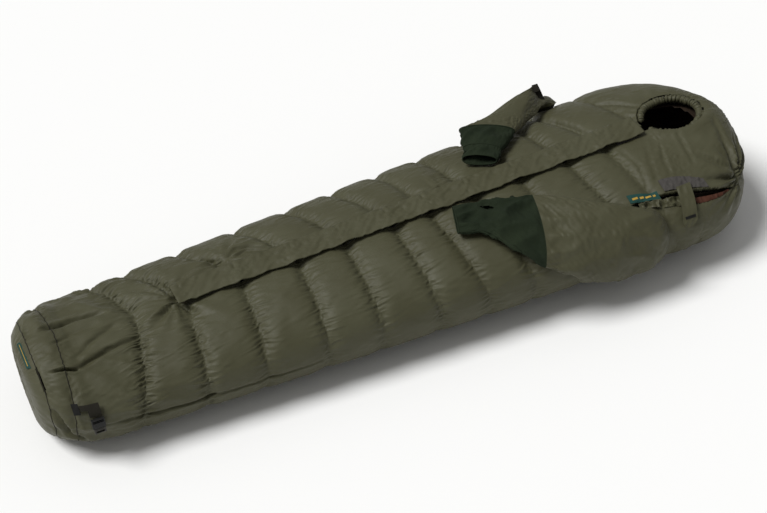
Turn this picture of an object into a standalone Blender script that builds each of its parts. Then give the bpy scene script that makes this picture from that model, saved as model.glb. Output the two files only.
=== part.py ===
"""Mummy sleeping bag with wearable sleeves, built as separate sewn pieces (metres, +Z up).

The bag lies on its back along X: foot end at -X, hood at +X, the wearer's left side at -Y.
Z is 0 at the ground. Most pieces are placed in skin coordinates: x along the bag, an angle
around its cross-section (0 on top, +90 on the left side, 180 underneath) and a depth below
the outer fabric, so a negative depth is a lift above it.
"""
import math

import bmesh
import bpy
from mathutils import Matrix, Vector

# Overall shape
FOOT_X = -1.115
HEAD_X = 1.115
FOOT_ROUND = 0.130
FOOT_END_WIDTH = 0.48
FOOT_END_HEIGHT = 0.78
HOOD_ROUND = 0.360
HOOD_WIDTH_POWER = 2.6
HOOD_HEIGHT_POWER = 3.4
HOOD_END_HEIGHT = 0.72
HEAD_MIDDLE_Z = 0.160
ROUNDNESS = 2.4
WIDTH_STATIONS = (
    (-1.115, 0.223), (-0.985, 0.258), (-0.455, 0.292), (0.095, 0.320),
    (0.605, 0.341), (0.865, 0.362), (1.115, 0.374),
)
GROUND_SINK = 0.006
KNEE_X = -0.720
KNEE_HEIGHT = 0.262
TOP_RISE = 0.0294
FOOT_RISE = 0.0256

# Filled walls and seams between them
WALL = 0.034
SEAM_GAP = 0.0015
SIDE_SEAM = 84.0
FOOT_BOX_X = -1.000
FOOT_END_X = -1.082
HOOD_X = 0.615
LINING_THICK = 0.002
LINING_DEPTH = WALL + 0.0045

# Front zip, in a groove along the middle of the top
GROOVE = 0.015
ZIP_FOOT_X = -0.640
ZIP_HEAD_X = 0.800
ZIP_DEPTH = 0.017
TAPE_THICK = 0.0012
TEETH_GAP = 0.0006
TEETH_WIDTH = 0.0022
TEETH_HALF_HEIGHT = 0.0013
SLIDER_LENGTH = 0.014
SLIDER_HALF_WIDTH = 0.006
SLIDER_PLATE = 0.0012
SLIDER_CLEARANCE = 0.0004
SLIDER_X = 0.782
PULL_LENGTH = 0.028

# Draft flap over the zip
FLAP_LEFT_Y = -0.040
FLAP_RIGHT_Y = 0.045
FLAP_LIFT = 0.003
FLAP_THICK = 0.006

# Face opening in the hood
FACE_X = 0.940
FACE_Y = 0.022
FACE_HALF_LENGTH = 0.104
FACE_HALF_WIDTH = 0.092
HEM_RADIUS = 0.011

# Arm holes and the slit beside the left shoulder
ARM_X = 0.675
ARM_HALF_LENGTH = 0.040
ARM_ANGLE = 76.0
ARM_HALF_ANGLE = 25.0
SLIT_FOOT = (0.640, 46.0)
SLIT_HEAD = (0.975, 67.0)
SLIT_HALF_WIDTH = 7.0

COLLAR_X = 0.748
COLLAR_RADIUS = 0.018
TUBE_RADIUS = 0.016

# Buckle on the left foot corner
BUCKLE_X = -0.972
BUCKLE_TOP_Z = 0.178
BUCKLE_WIDTH = 0.036
BUCKLE_HEIGHT = 0.030
BUCKLE_THICK = 0.011

OLIVE = (0.075, 0.078, 0.052)
DARK_GREEN = (0.028, 0.034, 0.022)
RUST = (0.095, 0.040, 0.026)
BLACK = (0.015, 0.015, 0.014)
GREY = (0.105, 0.100, 0.085)


# ---------------------------------------------------------------- scene

def clear_scene():
    for old in list(bpy.data.objects):
        bpy.data.objects.remove(old, do_unlink=True)


def new_collection(name):
    collection = bpy.data.collections.new(name)
    bpy.context.scene.collection.children.link(collection)
    return collection


def make_material(name, colour, roughness, metallic=0.0):
    material = bpy.data.materials.new(name)
    material.use_nodes = True
    shader = material.node_tree.nodes["Principled BSDF"]
    shader.inputs["Base Color"].default_value = (*colour, 1.0)
    shader.inputs["Roughness"].default_value = roughness
    shader.inputs["Metallic"].default_value = metallic
    material.diffuse_color = (*colour, 1.0)
    return material


clear_scene()
BAG = new_collection("mummy_sleeping_bag")
CUTTERS = new_collection("cutters")
NYLON = make_material("nylon", OLIVE, 0.55)
LINING = make_material("lining", (0.030, 0.024, 0.018), 0.60)
KNIT = make_material("knit", DARK_GREEN, 0.90)
WEBBING = make_material("webbing", (0.055, 0.050, 0.036), 0.80)
PLASTIC = make_material("plastic", BLACK, 0.40)
GREY_PLASTIC = make_material("grey_plastic", GREY, 0.45)
ZIP_TAPE = make_material("zip_tape", (0.035, 0.036, 0.026), 0.85)
ZIP_TEETH = make_material("zip_teeth", (0.020, 0.021, 0.016), 0.45)
ZIP_METAL = make_material("zip_metal", (0.060, 0.060, 0.055), 0.35, 1.0)
HOOK_LOOP = make_material("hook_loop", GREY, 0.95)
RUST_CLOTH = make_material("rust_cloth", RUST, 0.75)
LABEL = make_material("label", (0.020, 0.045, 0.038), 0.70)


# ---------------------------------------------------------------- skin coordinates

def clamp(value):
    return min(1.0, max(0.0, value))


def straight_width(x):
    """Half width on straight lines between the width stations."""
    stations = WIDTH_STATIONS
    if x <= stations[0][0]:
        return stations[0][1]
    for (x0, w0), (x1, w1) in zip(stations, stations[1:]):
        if x <= x1:
            return w0 + (w1 - w0) * (x - x0) / (x1 - x0)
    return stations[-1][1]


def half_width(x):
    """Half width with the corners at the stations eased over 6 cm each way."""
    return (straight_width(x - 0.06) + 2 * straight_width(x) + straight_width(x + 0.06)) / 4


def top_height(x):
    """Height of the bag's top line: straight along the zip, rising a little to the toes."""
    toward_foot = clamp((KNEE_X - x) / (KNEE_X - FOOT_X))
    return KNEE_HEIGHT + TOP_RISE * (x - KNEE_X) + FOOT_RISE * toward_foot ** 2


def mapped_x(x, depth):
    """Where the station x lies on the skin that is offset inward by depth."""
    foot_start = FOOT_X + FOOT_ROUND
    hood_start = HEAD_X - HOOD_ROUND
    if x < foot_start:
        return foot_start - (foot_start - x) * (FOOT_ROUND - depth) / FOOT_ROUND
    if x > hood_start:
        return hood_start + (x - hood_start) * (HOOD_ROUND - depth) / HOOD_ROUND
    return x


def section(x, depth=0.0):
    """Half width, middle height and half height of the cross-section at station x."""
    foot = clamp((FOOT_X + FOOT_ROUND - x) / FOOT_ROUND)
    hood = clamp((x - HEAD_X + HOOD_ROUND) / HOOD_ROUND)
    foot_fall = math.sqrt(1 - foot ** 2)
    hood_width = math.sqrt(1 - hood ** HOOD_WIDTH_POWER)
    hood_height = math.sqrt(1 - hood ** HOOD_HEIGHT_POWER)
    width = (half_width(x) - depth) * (FOOT_END_WIDTH + (1 - FOOT_END_WIDTH) * foot_fall)
    width *= hood_width
    height = top_height(x)
    tall = (height + GROUND_SINK - 2 * depth) * (FOOT_END_HEIGHT + (1 - FOOT_END_HEIGHT) * foot_fall)
    tall *= HOOD_END_HEIGHT + (1 - HOOD_END_HEIGHT) * hood_height
    middle = (height - GROUND_SINK) / 2
    middle += (HEAD_MIDDLE_Z - middle) * hood ** 2
    return width, middle, tall / 2


def signed_power(value, power):
    return math.copysign(abs(value) ** power, value)


def skin_point(x, angle, depth=0.0):
    """The point at station x, angle degrees around from the top, depth below the fabric.

    The section would reach a little below the ground, which flattens its underside.
    """
    width, middle, half_tall = section(x, depth)
    turn = math.radians(angle)
    y = -width * signed_power(math.sin(turn), 2 / ROUNDNESS)
    z = middle + half_tall * signed_power(math.cos(turn), 2 / ROUNDNESS)
    return Vector((mapped_x(x, depth), y, max(z, depth)))


def angle_at_y(x, y):
    """The angle at which the top of the skin has the given y."""
    width = section(x)[0]
    return -math.degrees(math.asin(signed_power(y / width, ROUNDNESS / 2)))


def spread(low, high, count):
    """count evenly spaced values from low to high."""
    return [low + (high - low) * i / (count - 1) for i in range(count)]


# ---------------------------------------------------------------- solids

def add_object(name, mesh, material, collection=BAG):
    part = bpy.data.objects.new(name, mesh)
    collection.objects.link(part)
    if material:
        mesh.materials.append(material)
    return part


def thick_skin(outer, inner, around=False, cap_low=False, cap_high=False):
    """Mesh between an outer and an inner grid of points, closed along every open rim."""
    rows, columns = len(outer), len(outer[0])
    spans = columns if around else columns - 1

    def at(layer, i, j):
        return (layer * rows + i) * columns + j % columns

    faces = []
    for i in range(rows - 1):
        for j in range(spans):
            faces.append((at(0, i, j), at(0, i, j + 1), at(0, i + 1, j + 1), at(0, i + 1, j)))
            faces.append((at(1, i, j), at(1, i + 1, j), at(1, i + 1, j + 1), at(1, i, j + 1)))
        if not around:
            faces.append((at(0, i, 0), at(0, i + 1, 0), at(1, i + 1, 0), at(1, i, 0)))
            faces.append((at(0, i, spans), at(1, i, spans), at(1, i + 1, spans), at(0, i + 1, spans)))
    for i, capped in ((0, cap_low), (rows - 1, cap_high)):
        if capped:
            faces.append([at(0, i, j) for j in range(columns)])
            faces.append([at(1, i, j) for j in range(columns)])
        else:
            faces += [(at(0, i, j), at(1, i, j), at(1, i, j + 1), at(0, i, j + 1)) for j in range(spans)]
    points = [point for grid in (outer, inner) for row in grid for point in row]
    mesh = bpy.data.meshes.new("thick_skin")
    mesh.from_pydata(points, [], faces)
    shell = bmesh.new()
    shell.from_mesh(mesh)
    bmesh.ops.recalc_face_normals(shell, faces=shell.faces)
    if around and cap_low and cap_high:
        hollow = [face for face in shell.faces if face.verts[0].index >= rows * columns]
        bmesh.ops.reverse_faces(shell, faces=hollow)
    shell.to_mesh(mesh)
    shell.free()
    mesh.shade_smooth()
    mesh.set_sharp_from_angle(angle=math.radians(50))
    return mesh


def panel(name, stations, low_angle, high_angle, columns, material, outer=0.0, inner=WALL):
    """A filled panel between two angles, which may be functions of x."""
    def edge(angle, x):
        return angle(x) if callable(angle) else angle

    grids = []
    for depth in (outer, inner):
        grids.append([
            [skin_point(x, angle, depth) for angle in spread(edge(low_angle, x), edge(high_angle, x), columns)]
            for x in stations
        ])
    return add_object(name, thick_skin(*grids), material)


def ring_panel(name, stations, columns, material, outer=0.0, inner=WALL, cap_low=False, cap_high=False):
    """A filled panel that runs all the way around the bag."""
    angles = [360 * j / columns for j in range(columns)]
    grids = [[[skin_point(x, angle, depth) for angle in angles] for x in stations] for depth in (outer, inner)]
    mesh = thick_skin(*grids, around=True, cap_low=cap_low, cap_high=cap_high)
    return add_object(name, mesh, material)


def patch(name, edges, columns, outer, inner, material, collection=BAG):
    """A slab on the skin: edges lists, row by row, the (x, angle) of its two edges."""
    grids = []
    for depth in (outer, inner):
        rows = []
        for (x0, a0), (x1, a1) in edges:
            steps = spread(0.0, 1.0, columns)
            rows.append([skin_point(x0 + (x1 - x0) * t, a0 + (a1 - a0) * t, depth) for t in steps])
        grids.append(rows)
    return add_object(name, thick_skin(*grids), material, collection)


def box_mesh(name, size, centre, turn=Matrix.Identity(4)):
    mesh = bpy.data.meshes.new(name)
    shape = bmesh.new()
    place = Matrix.Translation(centre) @ turn @ Matrix.Diagonal((*size, 1.0))
    bmesh.ops.create_cube(shape, size=1.0, matrix=place)
    shape.to_mesh(mesh)
    shape.free()
    return mesh


def box(name, size, centre, material, turn=Matrix.Identity(4), bevel=0.0, collection=BAG):
    part = add_object(name, box_mesh(name, size, centre, turn), material, collection)
    if bevel:
        rounding = part.modifiers.new("rounded_edges", "BEVEL")
        rounding.width = bevel
        rounding.segments = 2
    return part


def cylinder_mesh(name, radius, length, place, segments=16, stretch=1.0):
    """A cylinder along its own Z, its second axis stretched, moved by the matrix place."""
    mesh = bpy.data.meshes.new(name)
    shape = bmesh.new()
    bmesh.ops.create_cone(
        shape, cap_ends=True, segments=segments, radius1=radius, radius2=radius, depth=length,
        matrix=place @ Matrix.Diagonal((1.0, stretch, 1.0, 1.0)),
    )
    shape.to_mesh(mesh)
    shape.free()
    return mesh


def tube_curve(name, points, radius, material, resolution=2):
    """A round filled tube through the points."""
    curve = bpy.data.curves.new(name, "CURVE")
    curve.dimensions = "3D"
    curve.bevel_depth = radius
    curve.bevel_resolution = resolution
    curve.use_fill_caps = True
    spline = curve.splines.new("POLY")
    spline.points.add(len(points) - 1)
    for knot, point in zip(spline.points, points):
        knot.co = (*point, 1.0)
    return add_object(name, curve, material)


def hide_cutter(cutter):
    cutter.hide_render = True
    cutter.display_type = "WIRE"
    return cutter


def cut(part, cutter, operation="DIFFERENCE"):
    """Subtract the cutter from the part, or join it, with an exact Boolean."""
    hide_cutter(cutter)
    boolean = part.modifiers.new(cutter.name, "BOOLEAN")
    boolean.operation = operation
    boolean.object = cutter
    boolean.solver = "EXACT"


# ---------------------------------------------------------------- openings in the filled walls

def face_cutter():
    place = Matrix.Translation((FACE_X, FACE_Y, top_height(FACE_X) - 0.02))
    stretch = FACE_HALF_WIDTH / FACE_HALF_LENGTH
    mesh = cylinder_mesh("face_cutter", FACE_HALF_LENGTH, 0.16, place, segments=36, stretch=stretch)
    return hide_cutter(add_object("face_cutter", mesh, None, CUTTERS))


def zip_slot_cutter():
    low_x, high_x = HOOD_X - 0.05, FACE_X - FACE_HALF_LENGTH + 0.03
    size = (high_x - low_x, 2 * GROOVE, 0.16)
    centre = ((low_x + high_x) / 2, 0.0, top_height(high_x))
    return hide_cutter(box("zip_slot_cutter", size, centre, None, collection=CUTTERS))


def arm_outline(side, grow=0.0):
    """Rows of an oval arm hole, from its foot edge to its head edge."""
    rows = []
    for i in range(9):
        along = -math.cos(math.pi * i / 8)
        wide = max(0.12, math.sqrt(1 - along ** 2)) * (ARM_HALF_ANGLE + grow * 200)
        x = ARM_X + along * (ARM_HALF_LENGTH + grow)
        rows.append(((x, side * (ARM_ANGLE - wide)), (x, side * (ARM_ANGLE + wide))))
    return rows


def slit_centre(t):
    """Station and angle at fraction t along the slit, which sags a little in the middle."""
    x = SLIT_FOOT[0] + (SLIT_HEAD[0] - SLIT_FOOT[0]) * t
    angle = SLIT_FOOT[1] + (SLIT_HEAD[1] - SLIT_FOOT[1]) * t
    return x, angle - 3.0 * math.sin(math.pi * t)


def slit_rows(count, low, high, start=0.0, end=1.0):
    """Rows across the slit; low and high are parts of its half width, up and down."""
    rows = []
    for t in spread(start, end, count):
        x, angle = slit_centre(t)
        wide = SLIT_HALF_WIDTH * max(0.15, math.sin(math.pi * t)) ** 0.7
        rows.append(((x, angle + low * wide), (x, angle + high * wide)))
    return rows


def skin_cutter(name, rows, reach):
    return hide_cutter(patch(name, rows, 5, -0.03, reach, None, CUTTERS))


def toe_slit_rows():
    """The short open stretch of the seam around the toe panel."""
    rows = []
    for angle in spread(22.0, 54.0, 7):
        swell = math.sin(math.pi * (angle - 21.0) / 34.0)
        half_gap = 0.002 + 0.005 * swell
        rows.append(((FOOT_END_X - half_gap, angle), (FOOT_END_X + half_gap, angle)))
    return rows


FACE_CUT = face_cutter()
SLOT_CUT = zip_slot_cutter()
REACH = WALL + 0.015
ARM_CUTS = [
    skin_cutter("arm_cutter_left", arm_outline(1), REACH),
    skin_cutter("arm_cutter_right", arm_outline(-1), REACH),
]
SLIT_CUT = skin_cutter("slit_cutter", slit_rows(11, -1.0, 1.0), REACH)
TOE_CUT = skin_cutter("toe_cutter", toe_slit_rows(), REACH)


# ---------------------------------------------------------------- filled walls

def hood_stations(low, depth_end=0.012):
    """Stations of the hood: even to where it rounds off, then closer toward the crown."""
    start = HEAD_X - HOOD_ROUND
    even = spread(low, start, 4)
    last = math.asin(1 - depth_end / HOOD_ROUND)
    return even + [start + HOOD_ROUND * math.sin(last * i / 7) for i in range(1, 8)]


def build_quilts():
    """The two upper panels, apart at the zip and meeting below it, and the back panel."""
    step_x = ZIP_FOOT_X - 0.008
    below_zip = spread(FOOT_BOX_X + SEAM_GAP, step_x - 0.004, 5)
    stations = below_zip + spread(step_x, HOOD_X - SEAM_GAP, 14)

    def left_edge(x):
        return angle_at_y(x, -GROOVE if x > step_x - 0.001 else -SEAM_GAP / 2)

    gap_angle = 0.3
    panel("quilt_left", stations, left_edge, SIDE_SEAM - gap_angle, 10, NYLON)
    panel("quilt_right", stations, lambda x: -SIDE_SEAM + gap_angle, lambda x: -left_edge(x), 10, NYLON)
    panel("quilt_back", stations, SIDE_SEAM + gap_angle, 360 - SIDE_SEAM - gap_angle, 16, NYLON)


def build_hood():
    hood = ring_panel("hood", hood_stations(HOOD_X), 36, NYLON, cap_high=True)
    for cutter in (SLOT_CUT, FACE_CUT, SLIT_CUT, *ARM_CUTS):
        cut(hood, cutter)


def build_foot():
    box_stations = spread(FOOT_END_X + SEAM_GAP, FOOT_BOX_X - SEAM_GAP, 4)
    foot_box = ring_panel("foot_box", box_stations, 28, NYLON)
    cut(foot_box, TOE_CUT)
    end_stations = [FOOT_X, FOOT_X + 0.006, FOOT_X + 0.018, FOOT_END_X - SEAM_GAP]
    toe_panel = ring_panel("toe_panel", end_stations, 28, NYLON, inner=0.030, cap_low=True)
    cut(toe_panel, TOE_CUT)


def build_lining():
    """The inner fabric, one skin inside all the filled walls."""
    foot_stations = [FOOT_X, FOOT_X + 0.03, FOOT_X + FOOT_ROUND]
    trunk_stations = spread(-0.85, HOOD_X, 8)
    stations = foot_stations + trunk_stations + hood_stations(HOOD_X, 0.02)[1:]
    inner = LINING_DEPTH + LINING_THICK
    lining = ring_panel("inner_lining", stations, 24, LINING, LINING_DEPTH, inner, True, True)
    for cutter in (FACE_CUT, SLIT_CUT, *ARM_CUTS):
        cut(lining, cutter)


# ---------------------------------------------------------------- face opening, collar and draft tube

def build_face_hem():
    """The gathered hem around the face, open under the chin where the zip ends."""
    points = []
    for angle in spread(198.0, 526.0, 32):
        turn = math.radians(angle)
        x = FACE_X + (FACE_HALF_LENGTH - HEM_RADIUS - 0.002) * math.cos(turn)
        y = FACE_Y + (FACE_HALF_WIDTH - HEM_RADIUS - 0.002) * math.sin(turn)
        crown = skin_point(x, angle_at_y(x, y))
        points.append((x, y, crown.z - 0.010))
    tube_curve("face_hem", points, HEM_RADIUS, NYLON)


def build_draft_collar():
    """The filled tube around the neck, inside the lining."""
    depth = LINING_DEPTH + LINING_THICK + COLLAR_RADIUS + 0.003
    points = [skin_point(COLLAR_X, angle, depth) for angle in spread(16.0, 344.0, 30)]
    tube_curve("draft_collar", points, COLLAR_RADIUS, LINING)


def zip_point(x, y, depth):
    """A point on the straight line of the zip, depth below the top line."""
    return Vector((x, y, top_height(x) - depth))


def build_draft_tube():
    """The filled tube behind the zip, inside the lining."""
    depth = LINING_DEPTH + LINING_THICK + TUBE_RADIUS + 0.003
    points = [zip_point(x, 0.0, depth) for x in spread(ZIP_FOOT_X, COLLAR_X - 0.03, 8)]
    tube_curve("draft_tube", points, TUBE_RADIUS, LINING)


# ---------------------------------------------------------------- zip

def zip_bar(name, low_x, high_x, low_y, high_y, half_height, material, lift=0.0):
    """A straight bar along the zip line."""
    low, high = zip_point(low_x, 0.0, ZIP_DEPTH), zip_point(high_x, 0.0, ZIP_DEPTH)
    turn = (high - low).to_track_quat("X", "Z").to_matrix().to_4x4()
    centre = (low + high) / 2 + Vector((0.0, (low_y + high_y) / 2, lift))
    size = ((high - low).length, high_y - low_y, 2 * half_height)
    return box(name, size, centre, material, turn)


def build_zip():
    tape_inner = TEETH_GAP + TEETH_WIDTH + 0.0003
    tape_outer = GROOVE - 0.0035
    half_tape = TAPE_THICK / 2
    low, high = ZIP_FOOT_X, ZIP_HEAD_X
    zip_bar("zip_tape_left", low, high, -tape_outer, -tape_inner, half_tape, ZIP_TAPE)
    zip_bar("zip_tape_right", low, high, tape_inner, tape_outer, half_tape, ZIP_TAPE)
    outer = TEETH_GAP + TEETH_WIDTH
    tall = TEETH_HALF_HEIGHT
    zip_bar("zip_teeth_left", low + 0.008, high - 0.006, -outer, -TEETH_GAP, tall, ZIP_TEETH)
    zip_bar("zip_teeth_right", low + 0.008, high - 0.006, TEETH_GAP, outer, tall, ZIP_TEETH)
    zip_bar("zip_stop_foot", low + 0.001, low + 0.007, -outer, outer, tall, ZIP_METAL)
    zip_bar("zip_stop_head_left", high - 0.005, high - 0.001, -outer, -TEETH_GAP, tall, ZIP_METAL)
    zip_bar("zip_stop_head_right", high - 0.005, high - 0.001, TEETH_GAP, outer, tall, ZIP_METAL)


def build_slider():
    """Two plates over and under the teeth, joined by a thin post between the tooth rows."""
    reach = TEETH_HALF_HEIGHT + SLIDER_CLEARANCE
    low, high = SLIDER_X - SLIDER_LENGTH / 2, SLIDER_X + SLIDER_LENGTH / 2
    half = SLIDER_HALF_WIDTH
    plate_lift = reach + SLIDER_PLATE / 2
    slider = zip_bar("zip_slider", low, high, -half, half, SLIDER_PLATE / 2, ZIP_METAL, plate_lift)
    lower = zip_bar("slider_lower", low, high, -half, half, SLIDER_PLATE / 2, ZIP_METAL, -plate_lift)
    post_half = TEETH_GAP - 0.0002
    post = zip_bar("slider_post", low, high, -post_half, post_half, plate_lift, ZIP_METAL)
    lug_lift = reach + SLIDER_PLATE + 0.0012
    lug_x = SLIDER_X + 0.003
    lugs = [
        zip_bar("slider_lug_" + side, lug_x - 0.002, lug_x + 0.002, y - 0.0006, y + 0.0006, 0.0018, ZIP_METAL, lug_lift)
        for side, y in (("left", -0.0038), ("right", 0.0038))
    ]
    pin_centre = pull_pivot()
    place = Matrix.Translation(pin_centre) @ Matrix.Rotation(math.radians(90), 4, "X")
    pin = add_object("slider_pin", cylinder_mesh("slider_pin", 0.0006, 0.0078, place, 12), ZIP_METAL)
    for piece in (lower, post, *lugs, pin):
        BAG.objects.unlink(piece)
        CUTTERS.objects.link(piece)
        cut(slider, piece, "UNION")


def pull_pivot():
    lift = TEETH_HALF_HEIGHT + SLIDER_CLEARANCE + SLIDER_PLATE + 0.0018
    return zip_point(SLIDER_X + 0.003, 0.0, ZIP_DEPTH) + Vector((0.0, 0.0, lift))


def build_pull():
    """A flat pull with a barrel around the slider's pin, lying toward the foot."""
    pivot = pull_pivot()
    place = Matrix.Translation(pivot) @ Matrix.Rotation(math.radians(90), 4, "X")
    pull = add_object("zip_pull", cylinder_mesh("zip_pull", 0.0015, 0.0056, place, 16), ZIP_METAL)
    low, high = pivot.x - PULL_LENGTH, pivot.x - 0.0011
    lift = pivot.z - zip_point(pivot.x, 0.0, ZIP_DEPTH).z
    blade = zip_bar("pull_blade", low, high, -0.0026, 0.0026, 0.0007, ZIP_METAL, lift)
    hole = add_object("pull_hole", cylinder_mesh("pull_hole", 0.0009, 0.0100, place, 12), None, CUTTERS)
    BAG.objects.unlink(blade)
    CUTTERS.objects.link(blade)
    cut(pull, blade, "UNION")
    cut(pull, hole)


# ---------------------------------------------------------------- draft flap

def flap_rows(low_x, high_x, count, left_y, right_y):
    rows = []
    for x in spread(low_x, high_x, count):
        rows.append(((x, angle_at_y(x, left_y)), (x, angle_at_y(x, right_y))))
    return rows


def flap_hinge_point(x):
    """The flap's sewn edge, at its upper face, which is the line that it turns about."""
    return skin_point(x, angle_at_y(x, FLAP_RIGHT_Y), -FLAP_LIFT - FLAP_THICK)


def build_flap():
    """The padded strip over the zip, sewn along its right edge, with a fastening patch."""
    rows = flap_rows(ZIP_FOOT_X - 0.015, ZIP_HEAD_X + 0.012, 12, FLAP_LEFT_Y, FLAP_RIGHT_Y)
    patch("draft_flap", rows, 5, -FLAP_LIFT - FLAP_THICK, -FLAP_LIFT, NYLON)
    tape_rows = flap_rows(ZIP_HEAD_X - 0.075, ZIP_HEAD_X - 0.010, 3, FLAP_LEFT_Y + 0.002, -GROOVE - 0.004)
    patch("flap_hook_tape", tape_rows, 2, -FLAP_LIFT + 0.0003, -FLAP_LIFT + 0.0014, HOOK_LOOP)
    patch("flap_loop_tape", tape_rows, 2, -0.0012, -0.0003, HOOK_LOOP)


# ---------------------------------------------------------------- left shoulder slit

def build_shoulder_slit():
    patch("slit_hook_tape", slit_rows(7, -2.6, -1.25, 0.34, 0.72), 3, -0.0026, -0.0005, HOOK_LOOP)
    patch("slit_facing", slit_rows(7, 0.10, 0.92, 0.58, 0.94), 3, 0.010, 0.014, RUST_CLOTH)
    patch("slit_draft_flap", slit_rows(8, -0.30, 0.90, 0.08, 0.50), 4, 0.014, 0.022, NYLON)


def tab_rows():
    """The closing tab, from its sewn end above the slit down to its pointed free end."""
    rows = []
    for t in spread(0.0, 1.0, 9):
        angle = 43.0 + 37.0 * t
        x = 0.800 - 0.030 * t
        half = 0.017 if t < 0.8 else 0.017 - 0.013 * (t - 0.8) / 0.2
        rows.append(((x - half, angle), (x + half, angle)))
    return rows


def build_closing_tab():
    patch("closing_tab", tab_rows(), 3, -0.0085, -0.0050, NYLON)


# ---------------------------------------------------------------- sleeves

# Rows of a sleeve from the arm hole to the wrist. Each has the station, angle and lift of the
# sleeve's upper edge, the same for its lower edge, and half its thickness along x and outward.
LEFT_ROWS = (
    ((0.675, 51.0, 0.003), (0.675, 101.0, 0.003), 0.043, 0.0),
    ((0.665, 49.0, 0.018), (0.665, 103.0, 0.018), 0.036, 0.014),
    ((0.642, 46.0, 0.022), (0.648, 105.0, 0.022), 0.020, 0.018),
    ((0.600, 41.0, 0.023), (0.615, 106.0, 0.023), 0.004, 0.018),
    ((0.540, 34.0, 0.024), (0.530, 104.0, 0.024), 0.0, 0.018),
    ((0.460, 25.0, 0.023), (0.420, 92.0, 0.023), 0.0, 0.017),
    ((0.388, 18.0, 0.022), (0.324, 69.0, 0.022), 0.0, 0.016),
)
LEFT_CUFF_ROWS = (
    ((0.388, 18.0, 0.021), (0.324, 69.0, 0.021), 0.0, 0.015),
    ((0.330, 14.5, 0.020), (0.268, 50.0, 0.020), 0.0, 0.015),
    ((0.234, 10.5, 0.019), (0.196, 29.0, 0.019), 0.0, 0.015),
)
LEFT_BAND_ROWS = (
    ((0.234, 10.5, 0.018), (0.196, 29.0, 0.018), 0.0, 0.014),
    ((0.170, 8.0, 0.018), (0.140, 25.0, 0.018), 0.0, 0.014),
)
RIGHT_ROWS = (
    ((0.675, 51.0, 0.003), (0.675, 101.0, 0.003), 0.043, 0.0),
    ((0.661, 48.0, 0.019), (0.668, 100.0, 0.018), 0.034, 0.015),
    ((0.634, 42.5, 0.028), (0.663, 84.7, 0.032), 0.0175, 0.014),
    ((0.596, 35.7, 0.029), (0.638, 46.7, 0.084), 0.004, 0.008),
    ((0.545, 30.3, 0.027), (0.541, 41.6, 0.071), 0.0, 0.016),
    ((0.515, 26.0, 0.024), (0.443, 36.0, 0.056), 0.0, 0.019),
    ((0.486, 22.5, 0.022), (0.335, 32.0, 0.054), 0.0, 0.019),
)
RIGHT_CUFF_ROWS = (
    ((0.486, 22.5, 0.022), (0.335, 32.0, 0.054), 0.0, 0.018),
    ((0.447, 17.0, 0.021), (0.323, 26.5, 0.040), 0.0, 0.018),
    ((0.408, 11.8, 0.021), (0.312, 21.1, 0.030), 0.0, 0.018),
)
RIGHT_BAND_ROWS = (
    ((0.408, 11.8, 0.021), (0.312, 21.1, 0.030), 0.0, 0.017),
    ((0.374, 6.1, 0.020), (0.288, 14.8, 0.022), 0.0, 0.017),
)
SLEEVE_WALL = 0.004
SLEEVE_COLUMNS = 16


def sleeve_ring(row, side, wall):
    """One cross-section of a sleeve, a flattened oval bent to the bag's surface."""
    (x0, a0, lift0), (x1, a1, lift1), thick_x, thick_out = row
    centre = Vector(((x0 + x1) / 2, (a0 + a1) / 2, (lift0 + lift1) / 2))
    across = Vector(((x0 - x1) / 2, (a0 - a1) / 2, (lift0 - lift1) / 2))
    half_span = (skin_point(x0, a0, -lift0) - skin_point(x1, a1, -lift1)).length / 2
    across *= (half_span - wall) / half_span
    thick = math.hypot(thick_x, thick_out)
    through = Vector((thick_x, 0.0, thick_out)) * ((thick - wall) / thick)
    ring = []
    for j in range(SLEEVE_COLUMNS):
        turn = 2 * math.pi * j / SLEEVE_COLUMNS
        x, angle, lift = centre + across * math.cos(turn) + through * signed_power(math.sin(turn), 0.8)
        ring.append(skin_point(x, side * angle, -lift))
    return ring


def blend_row(first, second, t):
    """A row at fraction t between two rows."""
    def mix(a, b):
        return a + (b - a) * t

    edges = [tuple(mix(a, b) for a, b in zip(first[k], second[k])) for k in (0, 1)]
    return (*edges, mix(first[2], second[2]), mix(first[3], second[3]))


def sleeve_piece(name, rows, side, material, trim_low=0.0, trim_high=0.0):
    """A tube through the rows, with its ends trimmed by a fraction of the end spans."""
    last = rows[-1]
    halved = [(first, blend_row(first, second, 0.5)) for first, second in zip(rows, rows[1:])]
    rows = [row for pair in halved for row in pair] + [last]
    rows[0] = blend_row(rows[0], rows[1], trim_low)
    rows[-1] = blend_row(rows[-1], rows[-2], trim_high)
    grids = [[sleeve_ring(row, side, wall) for row in rows] for wall in (0.0, SLEEVE_WALL)]
    return add_object(name, thick_skin(*grids, around=True), material)


def build_sleeves():
    sleeve_piece("sleeve_left", LEFT_ROWS, 1, NYLON)
    sleeve_piece("cuff_left", LEFT_CUFF_ROWS, 1, KNIT, 0.02, 0.01)
    sleeve_piece("cuff_band_left", LEFT_BAND_ROWS, 1, KNIT, 0.02)
    sleeve_piece("sleeve_right", RIGHT_ROWS, -1, NYLON)
    sleeve_piece("cuff_right", RIGHT_CUFF_ROWS, -1, KNIT, 0.03, 0.02)
    sleeve_piece("cuff_band_right", RIGHT_BAND_ROWS, -1, KNIT, 0.04)


def build_sleeve_strap():
    """The short webbing tab that stands up behind the right sleeve's upper fold."""
    middle = skin_point(0.668, -46.0, -0.064)
    turn = Matrix.Rotation(math.radians(20), 4, "Y")
    box("sleeve_strap_right", (0.014, 0.003, 0.040), middle, WEBBING, turn, bevel=0.0008)


# ---------------------------------------------------------------- labels

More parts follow.
